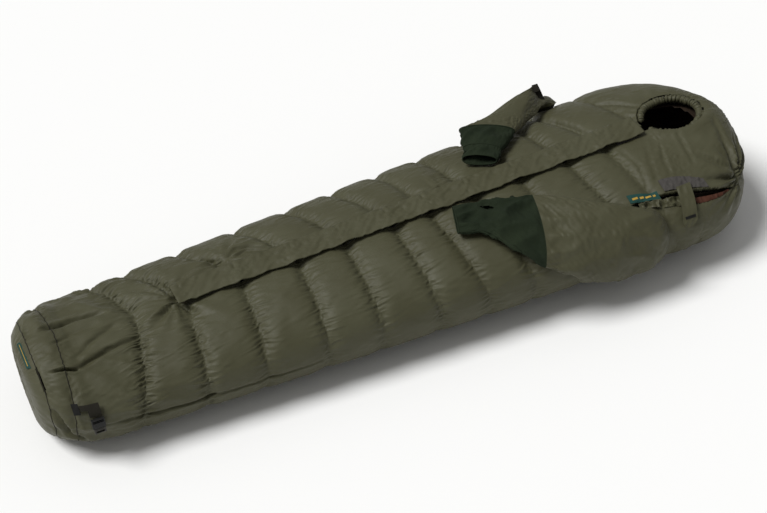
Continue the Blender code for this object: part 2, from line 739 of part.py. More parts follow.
def build_labels():
    chest_rows = [((x, a - 7.5), (x, a - 2.2)) for x, a in ((0.645, 45.5), (0.690, 47.0), (0.735, 48.6))]
    patch("label_chest", chest_rows, 4, -0.0022, -0.0005, LABEL)
    toe_rows = []
    for angle in spread(-6.0, 20.0, 6):
        toe_rows.append(((FOOT_END_X - 0.014, angle), (FOOT_END_X - 0.003, angle)))
    patch("label_toe", toe_rows, 3, -0.0022, -0.0005, LABEL)


# ---------------------------------------------------------------- foot corner strap and buckle

def buckle_y(gap):
    """Left face position, gap clear of the skin over the buckle's height."""
    heights = (62.0, 75.0, 88.0, 100.0)
    return min(skin_point(BUCKLE_X, angle).y for angle in heights) - gap


def build_foot_strap():
    anchor_rows = [((-1.024, a), (-1.008, a)) for a in spread(58.0, 70.0, 4)]
    patch("strap_anchor", anchor_rows, 3, -0.0045, -0.0008, PLASTIC)
    strap_rows = [((x, 60.5), (x, 66.5)) for x in spread(-1.0065, BUCKLE_X + 0.014, 4)]
    patch("foot_strap", strap_rows, 3, -0.0032, -0.0010, WEBBING)


def build_buckle():
    """A side-release buckle hanging down the left side: the plug pulls out downward."""
    y = buckle_y(0.004) - BUCKLE_THICK / 2
    middle = Vector((BUCKLE_X, y, BUCKLE_TOP_Z - BUCKLE_HEIGHT / 2))
    size = (BUCKLE_WIDTH, BUCKLE_THICK, BUCKLE_HEIGHT)
    socket = box("buckle_socket", size, middle, PLASTIC)
    pocket_size = (BUCKLE_WIDTH - 0.007, BUCKLE_THICK - 0.004, BUCKLE_HEIGHT - 0.006)
    pocket_centre = middle - Vector((0.0, 0.0, 0.0045))
    pocket = box("socket_pocket", pocket_size, pocket_centre, None, collection=CUTTERS)
    cut(socket, pocket)
    web_size = (BUCKLE_WIDTH - 0.012, BUCKLE_THICK + 0.004, 0.0022)
    web_slot = box("socket_web_slot", web_size, middle + Vector((0, 0, 0.0125)), None, collection=CUTTERS)
    cut(socket, web_slot)
    lowest = middle.z - BUCKLE_HEIGHT / 2
    base_size = (BUCKLE_WIDTH - 0.004, BUCKLE_THICK - 0.001, 0.020)
    plug = box("buckle_plug", base_size, (BUCKLE_X, y, lowest - 0.0108), GREY_PLASTIC)
    for index, x_offset in enumerate((-0.0115, 0.0, 0.0115)):
        prong_size = (0.0045, BUCKLE_THICK - 0.0055, 0.020)
        prong_centre = (BUCKLE_X + x_offset, y, lowest + 0.0082)
        cut(plug, box(f"plug_prong_{index}", prong_size, prong_centre, None, collection=CUTTERS), "UNION")
    bar_size = (BUCKLE_WIDTH - 0.012, BUCKLE_THICK + 0.004, 0.0040)
    bar_slot = box("plug_web_slot", bar_size, (BUCKLE_X, y, lowest - 0.0150), None, collection=CUTTERS)
    cut(plug, bar_slot)


# ---------------------------------------------------------------- assembly

build_quilts()
build_hood()
build_foot()
build_lining()
build_face_hem()
build_draft_collar()
build_draft_tube()
build_zip()
build_slider()
build_pull()
build_flap()
build_shoulder_slit()
build_closing_tab()
build_sleeves()
build_sleeve_strap()
build_labels()
build_foot_strap()
build_buckle()
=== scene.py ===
"""A mummy sleeping bag with sleeves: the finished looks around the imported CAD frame."""

import math

import bmesh
import bpy
import numpy as np
from mathutils import Matrix, Vector
from mathutils.bvhtree import BVHTree


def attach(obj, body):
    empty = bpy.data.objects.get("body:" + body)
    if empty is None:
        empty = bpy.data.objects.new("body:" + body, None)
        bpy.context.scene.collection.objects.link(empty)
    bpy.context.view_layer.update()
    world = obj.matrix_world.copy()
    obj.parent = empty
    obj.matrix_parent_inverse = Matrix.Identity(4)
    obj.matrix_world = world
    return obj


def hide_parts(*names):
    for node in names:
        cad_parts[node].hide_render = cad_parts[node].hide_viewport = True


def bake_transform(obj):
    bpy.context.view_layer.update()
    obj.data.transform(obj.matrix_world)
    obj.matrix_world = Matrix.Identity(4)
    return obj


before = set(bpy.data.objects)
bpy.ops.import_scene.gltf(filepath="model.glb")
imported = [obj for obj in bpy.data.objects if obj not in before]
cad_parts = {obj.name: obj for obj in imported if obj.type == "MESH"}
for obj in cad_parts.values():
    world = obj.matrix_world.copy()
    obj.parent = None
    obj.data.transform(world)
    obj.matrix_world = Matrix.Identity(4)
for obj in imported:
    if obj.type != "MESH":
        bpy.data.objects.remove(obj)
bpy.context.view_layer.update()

# ---------------------------------------------------------------- the bag's measures, in metres

FOOT_X, HEAD_X = -1.115, 1.115
FOOT_ROUND, FOOT_END_WIDTH, FOOT_END_HEIGHT = 0.130, 0.48, 0.78
HOOD_ROUND, HOOD_WIDTH_POWER, HOOD_HEIGHT_POWER = 0.360, 2.6, 3.4
HOOD_END_HEIGHT, HEAD_MIDDLE_Z = 0.72, 0.160
ROUNDNESS = 2.4
WIDTH_STATIONS = ((-1.115, 0.223), (-0.985, 0.258), (-0.455, 0.292), (0.095, 0.320),
                  (0.605, 0.341), (0.865, 0.362), (1.115, 0.374))
GROUND_SINK = 0.006
KNEE_X, KNEE_HEIGHT, TOP_RISE, FOOT_RISE = -0.720, 0.262, 0.0294, 0.0256
WALL = 0.034
SIDE_SEAM = 84.0
FOOT_END_X = -1.082
ZIP_FOOT_X, ZIP_HEAD_X = -0.640, 0.800
SLOT_HALF = 0.015
FLAP_LEFT_Y, FLAP_RIGHT_Y = -0.040, 0.045
FACE_X, FACE_Y, FACE_HALF_LENGTH, FACE_HALF_WIDTH = 0.940, 0.022, 0.104, 0.092
HEM_RADIUS = 0.011
ARM_X, ARM_HALF_LENGTH, ARM_ANGLE, ARM_HALF_ANGLE = 0.675, 0.040, 76.0, 25.0
SLIT_FOOT, SLIT_HEAD, SLIT_HALF_WIDTH = (0.640, 46.0), (0.975, 67.0), 7.0
LINING_DEPTH = WALL + 0.0045
LINING_THICK, NYLON_THICK, KNIT_THICK, FLAP_THICK = 0.0012, 0.0013, 0.0022, 0.0028
# The middle of the star of folds on the left shoulder, and of the tuft beside the right cuff.
STAR_X, STAR_ANGLE, TUFT_X, TUFT_ANGLE = 1.004, 64.0, 0.185, -6.5
FLAP_FOOT_X, FLAP_HEAD_X = -0.655, 0.812
TOE_SLIT_ANGLE, TOE_SLIT_HALF_ANGLE = 38.0, 16.0


# ---------------------------------------------------------------- skin coordinates

def straight_width(x):
    """The half width on straight lines between the given stations."""
    stations = np.array(WIDTH_STATIONS)
    return np.interp(x, stations[:, 0], stations[:, 1])


def half_width(x):
    """The half width, eased over the corners between those lines."""
    return (straight_width(x - 0.06) + 2 * straight_width(x) + straight_width(x + 0.06)) / 4


def top_height(x):
    """Height of the top: highest at the head, then from the knees a slight lift to the foot."""
    toward_foot = np.clip((KNEE_X - x) / (KNEE_X - FOOT_X), 0, 1)
    return KNEE_HEIGHT + TOP_RISE * (x - KNEE_X) + FOOT_RISE * toward_foot ** 2


def signed_power(value, power):
    """A power that keeps the sign, for squared-off curves."""
    return np.sign(value) * np.abs(value) ** power


def skin(x, angle, depth=0.0):
    """Points at station x, angle degrees around from the top, depth below the fabric."""
    x, angle, depth = np.broadcast_arrays(np.asarray(x, float), angle, depth)
    foot = np.clip((FOOT_X + FOOT_ROUND - x) / FOOT_ROUND, 0, 1)
    hood = np.clip((x - HEAD_X + HOOD_ROUND) / HOOD_ROUND, 0, 1)
    foot_fall = np.sqrt(1 - foot ** 2)
    width = (half_width(x) - depth) * (FOOT_END_WIDTH + (1 - FOOT_END_WIDTH) * foot_fall)
    width = width * np.sqrt(1 - hood ** HOOD_WIDTH_POWER)
    height = top_height(x)
    tall = (height + GROUND_SINK - 2 * depth) * (FOOT_END_HEIGHT + (1 - FOOT_END_HEIGHT) * foot_fall)
    tall = tall * (HOOD_END_HEIGHT + (1 - HOOD_END_HEIGHT) * np.sqrt(1 - hood ** HOOD_HEIGHT_POWER))
    middle = (height - GROUND_SINK) / 2
    middle = middle + (HEAD_MIDDLE_Z - middle) * hood ** 2
    turn = np.radians(angle)
    foot_start, hood_start = FOOT_X + FOOT_ROUND, HEAD_X - HOOD_ROUND
    toward_foot = (foot_start - x) * (FOOT_ROUND - depth) / FOOT_ROUND
    toward_head = (x - hood_start) * (HOOD_ROUND - depth) / HOOD_ROUND
    along = np.where(x < foot_start, foot_start - toward_foot, x)
    along = np.where(x > hood_start, hood_start + toward_head, along)
    y = -width * signed_power(np.sin(turn), 2 / ROUNDNESS)
    z = middle + tall / 2 * signed_power(np.cos(turn), 2 / ROUNDNESS)
    return np.stack([along, y, np.maximum(z, depth)], -1)


def signed_turn(angle):
    """The same angle from -180 to 180: the bag's left side is positive."""
    return (angle + 180) % 360 - 180


def angle_at_y(x, y):
    """The angle at which the top of the skin has the given y."""
    width = np.abs(skin(x, 90.0)[..., 1])
    return -np.degrees(np.arcsin(signed_power(np.clip(y / width, -1, 1), ROUNDNESS / 2)))


# ---------------------------------------------------------------- grids of points and their meshes

def from_ends(count):
    """For each of count places, how many places it is from the nearer end."""
    return np.minimum(np.arange(count), np.arange(count)[::-1])


def grid_normals(points, around):
    """Outward normals of a grid of points, rows along the bag and columns around it."""
    along = np.gradient(points, axis=0)
    if around:
        across = np.roll(points, -1, 1) - np.roll(points, 1, 1)
    else:
        across = np.gradient(points, axis=1)
    normal = np.cross(across, along)
    return normal / np.maximum(np.linalg.norm(normal, axis=-1, keepdims=True), 1e-9)


def finer(points, axis, around=False):
    """The grid with a point added between each two, on a smooth curve."""
    p = np.moveaxis(points, axis, 0)
    if around:
        before, after, later = np.roll(p, 1, 0), np.roll(p, -1, 0), np.roll(p, -2, 0)
        middle = (9 * (p + after) - before - later) / 16
        out = np.empty((2 * len(p), *p.shape[1:]))
        out[0::2], out[1::2] = p, middle
    else:
        ends = np.concatenate([2 * p[:1] - p[1:2], p, 2 * p[-1:] - p[-2:-1]])
        middle = (9 * (ends[1:-2] + ends[2:-1]) - ends[:-3] - ends[3:]) / 16
        out = np.empty((2 * len(p) - 1, *p.shape[1:]))
        out[0::2], out[1::2] = p, middle
    return np.moveaxis(out, 0, axis)


def scene_object(name, mesh, material):
    """An object in the scene that shows a mesh in its material."""
    if material:
        mesh.materials.append(material)
    piece = bpy.data.objects.new(name, mesh)
    bpy.context.scene.collection.objects.link(piece)
    return piece


def mesh_object(name, points, faces, material, smooth=True):
    mesh = bpy.data.meshes.new(name)
    mesh.from_pydata(np.asarray(points).reshape(-1, 3).tolist(), [], [list(map(int, f)) for f in faces])
    mesh.validate()
    if smooth:
        mesh.shade_smooth()
    return scene_object(name, mesh, material)


def grid_faces(rows, columns, around=False):
    """Quads of a grid, wound so that their normals face outward."""
    i, j = np.meshgrid(np.arange(rows - 1), np.arange(columns if around else columns - 1), indexing="ij")
    k = (j + 1) % columns
    return np.stack([i * columns + j, (i + 1) * columns + j, (i + 1) * columns + k, i * columns + k],
                    -1)[..., ::-1]


def simulate(points, faces, pinned, rest, pressure, frames, stiffness=15.0, bending=0.05):
    """Blender's cloth on a copy of the points, blown out by pressure with its pinned points held."""
    shape = points.shape
    flat = points.reshape(-1, 3)
    ob = mesh_object("cloth_work", flat, faces, None)
    ob.shape_key_add(name="Basis")
    key = ob.shape_key_add(name="cut")
    key.data.foreach_set("co", rest.reshape(-1).astype(np.float32))
    key.value = 0.0
    group = ob.vertex_groups.new(name="pin")
    group.add(np.flatnonzero(pinned.reshape(-1)).tolist(), 1.0, "REPLACE")
    modifier = ob.modifiers.new("cloth", "CLOTH")
    cloth = modifier.settings
    cloth.quality = 4
    cloth.mass = 0.12
    cloth.tension_stiffness = stiffness
    cloth.compression_stiffness = stiffness
    cloth.shear_stiffness = stiffness / 4
    cloth.bending_stiffness = bending
    cloth.tension_damping = 8
    cloth.compression_damping = 8
    cloth.shear_damping = 5
    cloth.bending_damping = 0.3
    cloth.air_damping = 2
    cloth.use_pressure = True
    cloth.uniform_pressure_force = pressure
    cloth.vertex_group_mass = "pin"
    cloth.rest_shape_key = key
    cloth.effector_weights.gravity = 0
    modifier.collision_settings.use_collision = False
    scene = bpy.context.scene
    scene.frame_start, scene.frame_end = 1, frames
    modifier.point_cache.frame_end = frames
    for number in range(1, frames + 1):
        scene.frame_set(number)
    solved = ob.evaluated_get(bpy.context.evaluated_depsgraph_get()).to_mesh()
    result = np.empty(len(solved.vertices) * 3, np.float32)
    solved.vertices.foreach_get("co", result)
    mesh = ob.data
    bpy.data.objects.remove(ob)
    bpy.data.meshes.remove(mesh)
    scene.frame_set(1)
    return result.reshape(shape).astype(float)


# ---------------------------------------------------------------- the filled shell

# The seams' numbers in the table below.
FOOT_END_SEAM, FOOT_BOX_SEAM, FIRST_BAFFLE_SEAM, HOOD_SEAM = 1, 2, 3, 12
# Sewn seams: x at the top, then how far x moves toward the head by 90 degrees on the left
# and by 45 degrees on the right, and how deep the thread pulls the fabric in on each side.
SEAMS = (
    (-1.115, 0.0, 0.0, 0.0, 0.0),
    (-1.082, 0.0, 0.0, 0.003, 0.003),
    (-1.000, -0.030, -0.022, 0.005, 0.005),
    (-0.774, -0.070, -0.073, 0.0150, 0.0135),
    (-0.632, -0.032, -0.110, 0.0150, 0.0135),
    (-0.465, -0.033, -0.115, 0.0145, 0.0135),
    (-0.295, -0.023, -0.100, 0.0140, 0.0135),
    (-0.150, -0.006, -0.080, 0.0140, 0.0135),
    (0.000, 0.018, -0.080, 0.0140, 0.0135),
    (0.115, 0.049, -0.045, 0.0140, 0.0135),
    (0.255, 0.050, -0.045, 0.0130, 0.0130),
    (0.405, 0.060, -0.045, 0.0120, 0.0130),
    (0.560, 0.075, -0.050, 0.012, 0.015),
    (0.687, 0.060, -0.088, 0.010, 0.015),
    (0.838, 0.000, -0.075, 0.000, 0.010),
    (1.103, 0.0, 0.0, 0.0, 0.0),
)
# Points sewn down to the padding: station, angle, half sizes along and around, and depth.
PINCHES = (
    (STAR_X, STAR_ANGLE, 0.012, 4.0, 0.010),
    (TUFT_X, TUFT_ANGLE, 0.009, 1.2, 0.006),
    (FLAP_FOOT_X, 0.0, 0.010, 2.0, 0.010),
)
ROW_STEP = 0.0125
COLUMN_STEP = 0.0085
UNDER_STEP = 0.017
# Sizes of the rings that close the foot and head ends, as parts of the last ring.
CAP_SCALES = (0.03, 0.2, 0.38, 0.55, 0.7, 0.82, 0.92)
# The outer cloth: how much wider and longer than its space it was cut, its pressure and steps.
CLOTH_WIDER, CLOTH_LONGER, CLOTH_PRESSURE, CLOTH_STEPS = 1.07, 1.035, 2.2, 26


def seam_x(number, angle):
    """Station of a sewn seam at an angle around the bag."""
    x, left, right = SEAMS[number][:3]
    turn = signed_turn(np.asarray(angle, float))
    on_left = left * np.minimum(turn, 95) / 90
    on_right = right * np.minimum(-turn, 45) / 45
    # The two sides' seams meet under the bag on a straight slant.
    under = np.clip((np.abs(turn) - 95) / 85, 0, 1)
    middle = (left * 95 / 90 + right) / 2
    side = np.where(turn >= 0, on_left, on_right)
    return x + side + (middle - side) * under


def column_angles():
    """Angles from the slot's edge round to the bottom, spaced by the cloth's length at the waist."""
    fine = np.linspace(1.4, 180.0, 3000)
    along = skin(0.0, fine)
    run = np.concatenate([[0], np.cumsum(np.linalg.norm(np.diff(along, axis=0), axis=1))])
    side_run = np.interp(96.0, fine, run)
    upper = np.linspace(0, side_run, int(side_run / COLUMN_STEP))
    lower = np.linspace(side_run, run[-1], int((run[-1] - side_run) / UNDER_STEP))
    return np.interp(np.concatenate([upper, lower[1:]]), run, fine)


def row_fractions():
    """For each row: the seam before it and its fraction of the way to the next seam."""
    rows = []
    for number in range(len(SEAMS) - 1):
        length = SEAMS[number + 1][0] - SEAMS[number][0]
        count = max(3, int(round(length / ROW_STEP)))
        for step in range(count):
            even = step / count
            rows.append((number, even - 0.55 * math.sin(2 * math.pi * even) / (2 * math.pi)))
    rows.append((len(SEAMS) - 2, 1.0))
    return rows


def shell_grid():
    """Station and angle of every grid point, and the seam rows."""
    half = column_angles()
    rows = row_fractions()
    slot_y = np.array([SLOT_HALF / 2, 0.0, -SLOT_HALF / 2])
    stations, angles = [], []
    for number, fraction in rows:
        near_x = SEAMS[number][0] * (1 - fraction) + SEAMS[number + 1][0] * fraction
        edge = abs(float(angle_at_y(min(near_x, 1.06), SLOT_HALF)))
        side = edge + (half - half[0]) * (180 - edge) / (180 - half[0])
        middle = angle_at_y(min(near_x, 1.06), slot_y)
        turn = np.concatenate([middle[1:], side, 360 - side[-2::-1], 360 + middle[:1]])
        angles.append(turn)
        stations.append(seam_x(number, turn) * (1 - fraction) + seam_x(number + 1, turn) * fraction)
    return np.array(stations), np.array(angles), rows


def in_face(x, y, grow=0.0):
    """Below 1 inside the face opening, in the flat of the hood's top."""
    along = (x - FACE_X) / (FACE_HALF_LENGTH + grow)
    return along ** 2 + ((y - FACE_Y) / (FACE_HALF_WIDTH + grow)) ** 2


def in_arm(x, angle, grow=0.0):
    """Below 1 inside an arm hole."""
    turn = np.abs(signed_turn(angle))
    along = (x - ARM_X) / (ARM_HALF_LENGTH + grow)
    return along ** 2 + ((turn - ARM_ANGLE) / (ARM_HALF_ANGLE + grow * 200)) ** 2


def slit_middle(t):
    """Station and angle of the slit's centre line, t from its foot end to its head end."""
    x = SLIT_FOOT[0] + (SLIT_HEAD[0] - SLIT_FOOT[0]) * t
    angle = SLIT_FOOT[1] + (SLIT_HEAD[1] - SLIT_FOOT[1]) * t - 3 * np.sin(np.pi * t)
    return x, angle


def slit_half(t):
    """Half the slit's width in degrees."""
    return SLIT_HALF_WIDTH * np.maximum(0.15, np.sin(np.pi * np.clip(t, 0, 1))) ** 0.7


def in_slit(x, angle, grow=0.0):
    """Below 1 inside the open slit beside the left shoulder."""
    t = (x - SLIT_FOOT[0]) / (SLIT_HEAD[0] - SLIT_FOOT[0])
    off = np.abs(angle - slit_middle(t)[1]) / (slit_half(t) + grow)
    return np.where((t < 0) | (t > 1), 9.0, off)


def in_toe(x, angle, grow=0.0):
    """Below 1 inside the short open slit in the toe seam."""
    off = (angle - TOE_SLIT_ANGLE) / TOE_SLIT_HALF_ANGLE
    half = 0.002 + 0.005 * np.maximum(0.0, 1 - off ** 2) + grow
    return np.where(np.abs(off) > 1, 9.0, np.abs(x - FOOT_END_X) / half)


def seam_depth(stations, angles):
    """How deep the sewn seams pull each grid point in."""
    turn = signed_turn(angles)
    deepest = np.zeros(stations.shape)
    for number in range(1, len(SEAMS) - 1):
        left, right = SEAMS[number][3:]
        blend = 0.5 - 0.5 * np.tanh(turn / 6.0)
        depth = left + (right - left) * np.where(np.abs(turn) > 90, 0.5, blend)
        away = np.abs(stations - seam_x(number, angles))
        deepest = np.maximum(deepest, depth * np.exp(-(away / 0.019) ** 2))
    shallow = np.clip((np.abs(turn) - 55) / 40, 0, 1)
    return deepest * (1 - 0.55 * shallow)


def capped_rows(stations, angles, depth):
    """The shell's points, with rows added that close the foot end and the head end."""
    points = skin(stations, angles, depth)
    ends = []
    for row, bulge in ((0, -0.004), (-1, 0.006)):
        ring = points[row]
        centre = ring.mean(0)
        rows = []
        for scale in CAP_SCALES:
            disc = centre + (ring - centre) * scale
            disc[:, 0] += bulge * (1 - scale ** 2)
            rows.append(disc)
        ends.append(rows if row == 0 else rows[::-1])
    return np.concatenate([ends[0], points, ends[1]]), len(ends[0])


def billowed_shell():
    """The whole outer fabric: sewn seams held, the cloth between them filled and puckered."""
    rng = np.random.default_rng(11)
    stations, angles, rows = shell_grid()
    seam_rows = np.array([fraction == 0 for _, fraction in rows])
    held_left = np.array([SEAMS[number][3] > 0.008 and fraction == 0 for number, fraction in rows])
    held_right = np.array([SEAMS[number][4] > 0.008 and fraction == 0 for number, fraction in rows])
    turn = signed_turn(angles)
    uneven = 1 + 0.10 * np.sin(np.cumsum(rng.normal(0, 0.9, angles.shape), axis=1) + 2.1 * angles)
    depth = 0.006 + seam_depth(stations, angles) * uneven
    base = skin(stations, angles, 0.0)
    slot = (np.abs(base[..., 1]) < SLOT_HALF + 0.003) & (np.abs(turn) < 30)
    slot &= (stations > ZIP_FOOT_X - 0.02) & (stations < FACE_X)
    held = np.where(turn >= 0, held_left[:, None], held_right[:, None]) & (np.abs(turn) < 150)
    held |= slot
    held |= (in_face(stations, base[..., 1], -0.006) < 1) & (np.abs(turn) < 60)
    held |= in_arm(stations, angles, 0.012) < 1
    held |= in_slit(stations, angles, -0.6) < 1
    held |= in_toe(stations, angles, 0.001) < 1
    for x, angle, half_x, half_angle, sunk in PINCHES:
        pinched = np.hypot((stations - x) / half_x, (turn - angle) / half_angle) < 1
        depth = depth + sunk * pinched
        held |= pinched
    points, added = capped_rows(stations, angles, depth)
    outline, _ = capped_rows(stations, angles, np.zeros(angles.shape))
    pinned = np.zeros(points.shape[:2], bool)
    pinned[added:-added] = held
    pinned[0] = pinned[-1] = True
    pinned[added] |= seam_rows[0]
    # The cloth was cut larger than the space it fills, most of all around the bag.
    middle = points.mean(1, keepdims=True)
    rest = middle + (points - middle) * np.array([1.0, CLOTH_WIDER, CLOTH_WIDER])
    rest[..., 0] = points[..., 0] * CLOTH_LONGER
    points += rng.normal(0, 0.0005, points.shape) * ~pinned[..., None]
    count, columns = points.shape[:2]
    faces = grid_faces(count, columns, around=True).reshape(-1, 4)
    points = simulate(points, faces, pinned, rest, CLOTH_PRESSURE, CLOTH_STEPS)
    return points, outline, added, stations, angles


def held_down(points, outline, limit, softness):
    """The shell kept from standing far proud of its outline."""
    normal = grid_normals(outline, around=True)
    out = ((points - outline) * normal).sum(-1)
    soft = limit - softness * np.log1p(np.exp(np.clip((limit - out) / softness, -30, 30)))
    soft = np.where(out > limit - 4 * softness, soft, out)
    moved = points + normal * (soft - out)[..., None]
    moved[..., 2] = np.maximum(moved[..., 2], 0.0008)
    return moved


def cleared(points, outline, covers, gap=0.002):
    """The shell kept a gap below the pieces that lie on it."""
    normal = grid_normals(outline, around=True)
    out = ((points - outline) * normal).sum(-1)
    start = (outline - 0.03 * normal).reshape(-1, 3)
    limit = np.full(out.size, 1.0)
    directions = normal.reshape(-1, 3)
    for cover in covers:
        near = ((start > cover["low"] - 0.07) & (start < cover["high"] + 0.07)).all(-1)
        for index in np.flatnonzero(near):
            hit = cover["tree"].ray_cast(Vector(start[index]), Vector(directions[index]), 0.06)
            if hit[0] is not None:
                limit[index] = min(limit[index], hit[3] - 0.03 - gap)
    limit = limit.reshape(out.shape)
    soft = limit - 0.0015 * np.log1p(np.exp(np.clip((limit - out) / 0.0015, -30, 30)))
    soft = np.where(out > limit - 0.006, soft, out)
    return points + normal * (soft - out)[..., None]


def cover_of(pieces):
    """A search tree of the pieces' faces, with its corners."""
    points, faces = [], []
    for piece in pieces:
        offset = len(points)
        points += [tuple(vertex.co) for vertex in piece.data.vertices]
        faces += [tuple(offset + index for index in polygon.vertices) for polygon in piece.data.polygons]
    corners = np.array(points)
    return {"tree": BVHTree.FromPolygons(points, faces), "low": corners.min(0), "high": corners.max(0)}


# ---------------------------------------------------------------- gathers, folds and creases

# Creases pressed into the filled fabric: their lines as (station, angle), depth and half width.
CREASES = (
    (((0.915, 5.5), (0.903, 11.5), (0.893, 22.0), (0.885, 32.5)), 0.005, 0.0045),
    (((0.906, 26.0), (0.944, 36.0), (0.984, 50.0), (1.003, 63.0)), 0.009, 0.0080),
    (((0.985, 30.0), (0.995, 46.0), (1.004, 62.0)), 0.008, 0.0065),
    (((1.013, 24.0), (1.014, 42.0), (1.006, 62.0)), 0.009, 0.0065),
    (((0.880, 45.0), (0.930, 50.0), (0.985, 59.0), (1.003, 65.0)), 0.006, 0.0080),
    (((1.035, 12.0), (1.022, 38.0), (1.008, 62.0)), 0.008, 0.007),
    (((1.070, 36.0), (1.040, 52.0), (1.010, 64.0)), 0.008, 0.007),
    (((1.015, 95.0), (1.020, 80.0), (1.008, 66.0)), 0.007, 0.007),
    (((0.879, -12.0), (0.840, -20.0), (0.786, -32.0)), 0.008, 0.007),
    (((0.684, -5.0), (0.660, -17.0), (0.616, -38.0)), 0.007, 0.006),
    (((0.800, 8.0), (0.772, 20.0), (0.750, 36.0)), 0.0035, 0.0045),
    (((0.835, 12.0), (0.812, 22.0), (0.800, 34.0)), 0.003, 0.0045),
    (((0.720, 6.0), (0.735, 20.0), (0.722, 34.0)), 0.0035, 0.004),
    (((-0.478, -13.0), (-0.515, -20.0), (-0.545, -30.0)), 0.010, 0.008),
    (((-0.470, -14.0), (-0.435, -19.0), (-0.395, -17.5), (-0.330, -12.0)), 0.009, 0.008),
    (((-0.455, -12.0), (-0.410, -13.5), (-0.365, -9.0)), 0.007, 0.006),
    (((-0.340, -17.0), (-0.315, -9.0), (-0.285, -3.0)), 0.007, 0.007),
    (((-1.030, -4.0), (-0.940, -8.0), (-0.847, -6.0)), 0.008, 0.008),
    (((-1.012, 6.0), (-0.955, 1.0), (-0.880, 0.0)), 0.004, 0.006),
    (((-1.040, 30.0), (-1.008, 29.0), (-0.975, 29.0)), 0.012, 0.0050),
    (((-0.985, 29.0), (-0.930, 23.5), (-0.883, 19.5), (-0.800, 17.0)), 0.006, 0.008),
    (((-0.970, 20.0), (-0.920, 11.0), (-0.830, 2.0)), 0.003, 0.007),
    (((-1.075, 70.0), (-1.050, 96.0), (-1.010, 108.0)), 0.008, 0.006),
    (((-0.955, 88.0), (-0.800, 92.0), (-0.500, 93.0), (-0.300, 92.0)), 0.004, 0.006),
)
# About how far one degree reaches around the bag.
DEGREE = 0.0053
# Folds that run out from one gathered point: station, angle, reach, height and seed.
STARS = (
    (STAR_X, STAR_ANGLE, 0.045, 0.0080, 5),
    (TUFT_X, TUFT_ANGLE, 0.026, 0.0025, 6),
    (FLAP_FOOT_X, 0.0, 0.045, 0.0035, 8),
    (-0.475, -15.0, 0.040, 0.0025, 7),
)
# Soft folds: first and last station, each with the length it fades over, then the folds'
# direction, seed, wave length and height.
SOFT_FOLDS = (
    (-1.10, 0.02, -0.99, 0.02, (0.3, 1.0, 0.2), 9, 0.055, 0.0012),
    (-1.09, 0.03, -0.74, 0.10, (1.0, -0.6, -0.2), 13, 0.085, 0.0022),
    (0.66, 0.05, HEAD_X + 1, 1.0, (1.0, 0.6, 0.3), 10, 0.130, 0.0007),
    (-0.97, 0.03, 0.66, 0.04, (1.0, 0.25, 0.0), 12, 0.090, 0.0008),
)
# Gathers: spacing, length, half width and height. The seams have three kinds, the face opening two.
SEAM_GATHERS = (0.030, 0.050, 0.0050, 0.0022)
FINE_GATHERS = (0.0135, 0.036, 0.0038, 0.0036)
LONG_GATHERS = (0.060, 0.095, 0.0085, 0.0018)
FACE_GATHERS = ((3, 0.015, 0.036, 0.0048, 0.0055), (4, 0.040, 0.075, 0.010, 0.0045))
FACE_MEAN_RADIUS = 0.098


def add_gathers(height, off, along, weight, seed, spacing, length, width, size, strength=1.0):
    """Adds narrow ridges that start at a seam and run out square to it, each one different.
    off is the distance from the seam, and along the distance along it."""
    rng = np.random.default_rng(seed)
    size = size * strength
    near = np.flatnonzero((off > 0) & (off < 2.4 * length))
    near = near[np.argsort(along.reshape(-1)[near])]
    t, s = along.reshape(-1)[near], off.reshape(-1)[near]
    added = np.zeros(len(near))
    place = t[0] - spacing
    while place < t[-1]:
        place += spacing * rng.uniform(0.6, 1.5)
        lean, reach = rng.uniform(-0.4, 0.4), length * rng.uniform(0.35, 1.2)
        thin, tall = width * rng.uniform(0.7, 1.4), size * rng.uniform(0.3, 1.25)
        low, high = np.searchsorted(t, (place - 0.05, place + 0.05))
        out = s[low:high]
        u = (t[low:high] - place - lean * out) / thin
        fade = np.exp(-(out / reach) ** 1.5) * (1 - 0.7 * np.exp(-out / 0.004))
        added[low:high] += tall * fade * (np.exp(-u * u) - 0.45 * np.exp(-(u / 2.2) ** 2))
    height.reshape(-1)[near] += added * weight.reshape(-1)[near]


def star_folds(stations, turn, x, angle, reach, tall, seed):
    """Folds that run out from one gathered point."""
    rng = np.random.default_rng(seed)
    ahead, around = stations - x, (turn - angle) * DEGREE
    away, bearing = np.hypot(ahead, around), np.arctan2(around, ahead)
    ripple = sum(np.cos(count * bearing + rng.uniform(0, 6.3)) for count in (6, 9, 13)) / 1.8
    swell = away / reach * np.exp(1 - away / reach)
    return tall * ripple * swell ** 1.3


def crease_heights(stations, turn):
    """How far the pressed creases lower or raise each point."""
    height = np.zeros(stations.shape)
    for path, depth, wide in CREASES:
        knots = np.array([(x, angle * DEGREE) for x, angle in path])
        lengths = np.linalg.norm(np.diff(knots, axis=0), axis=1)
        run = np.concatenate([[0], np.cumsum(lengths)])
        nearest = np.full(stations.shape, 9.0)
        at = np.zeros(stations.shape)
        for start, end, length, before in zip(knots, knots[1:], lengths, run):
            step = (end - start) / length
            dx, dy = stations - start[0], turn * DEGREE - start[1]
            t = np.clip(dx * step[0] + dy * step[1], 0, length)
            away = np.hypot(dx - t * step[0], dy - t * step[1])
            closer = away < nearest
            nearest = np.where(closer, away, nearest)
            at = np.where(closer, (before + t) / run[-1], at)
        taper = np.sin(np.pi * np.clip(at * 0.94 + 0.03, 0, 1)) ** 0.6
        dip = np.exp(-(nearest / wide) ** 2) - 0.2 * np.exp(-((nearest - 2.4 * wide) / (1.5 * wide)) ** 2)
        height -= depth * taper * dip
    return height


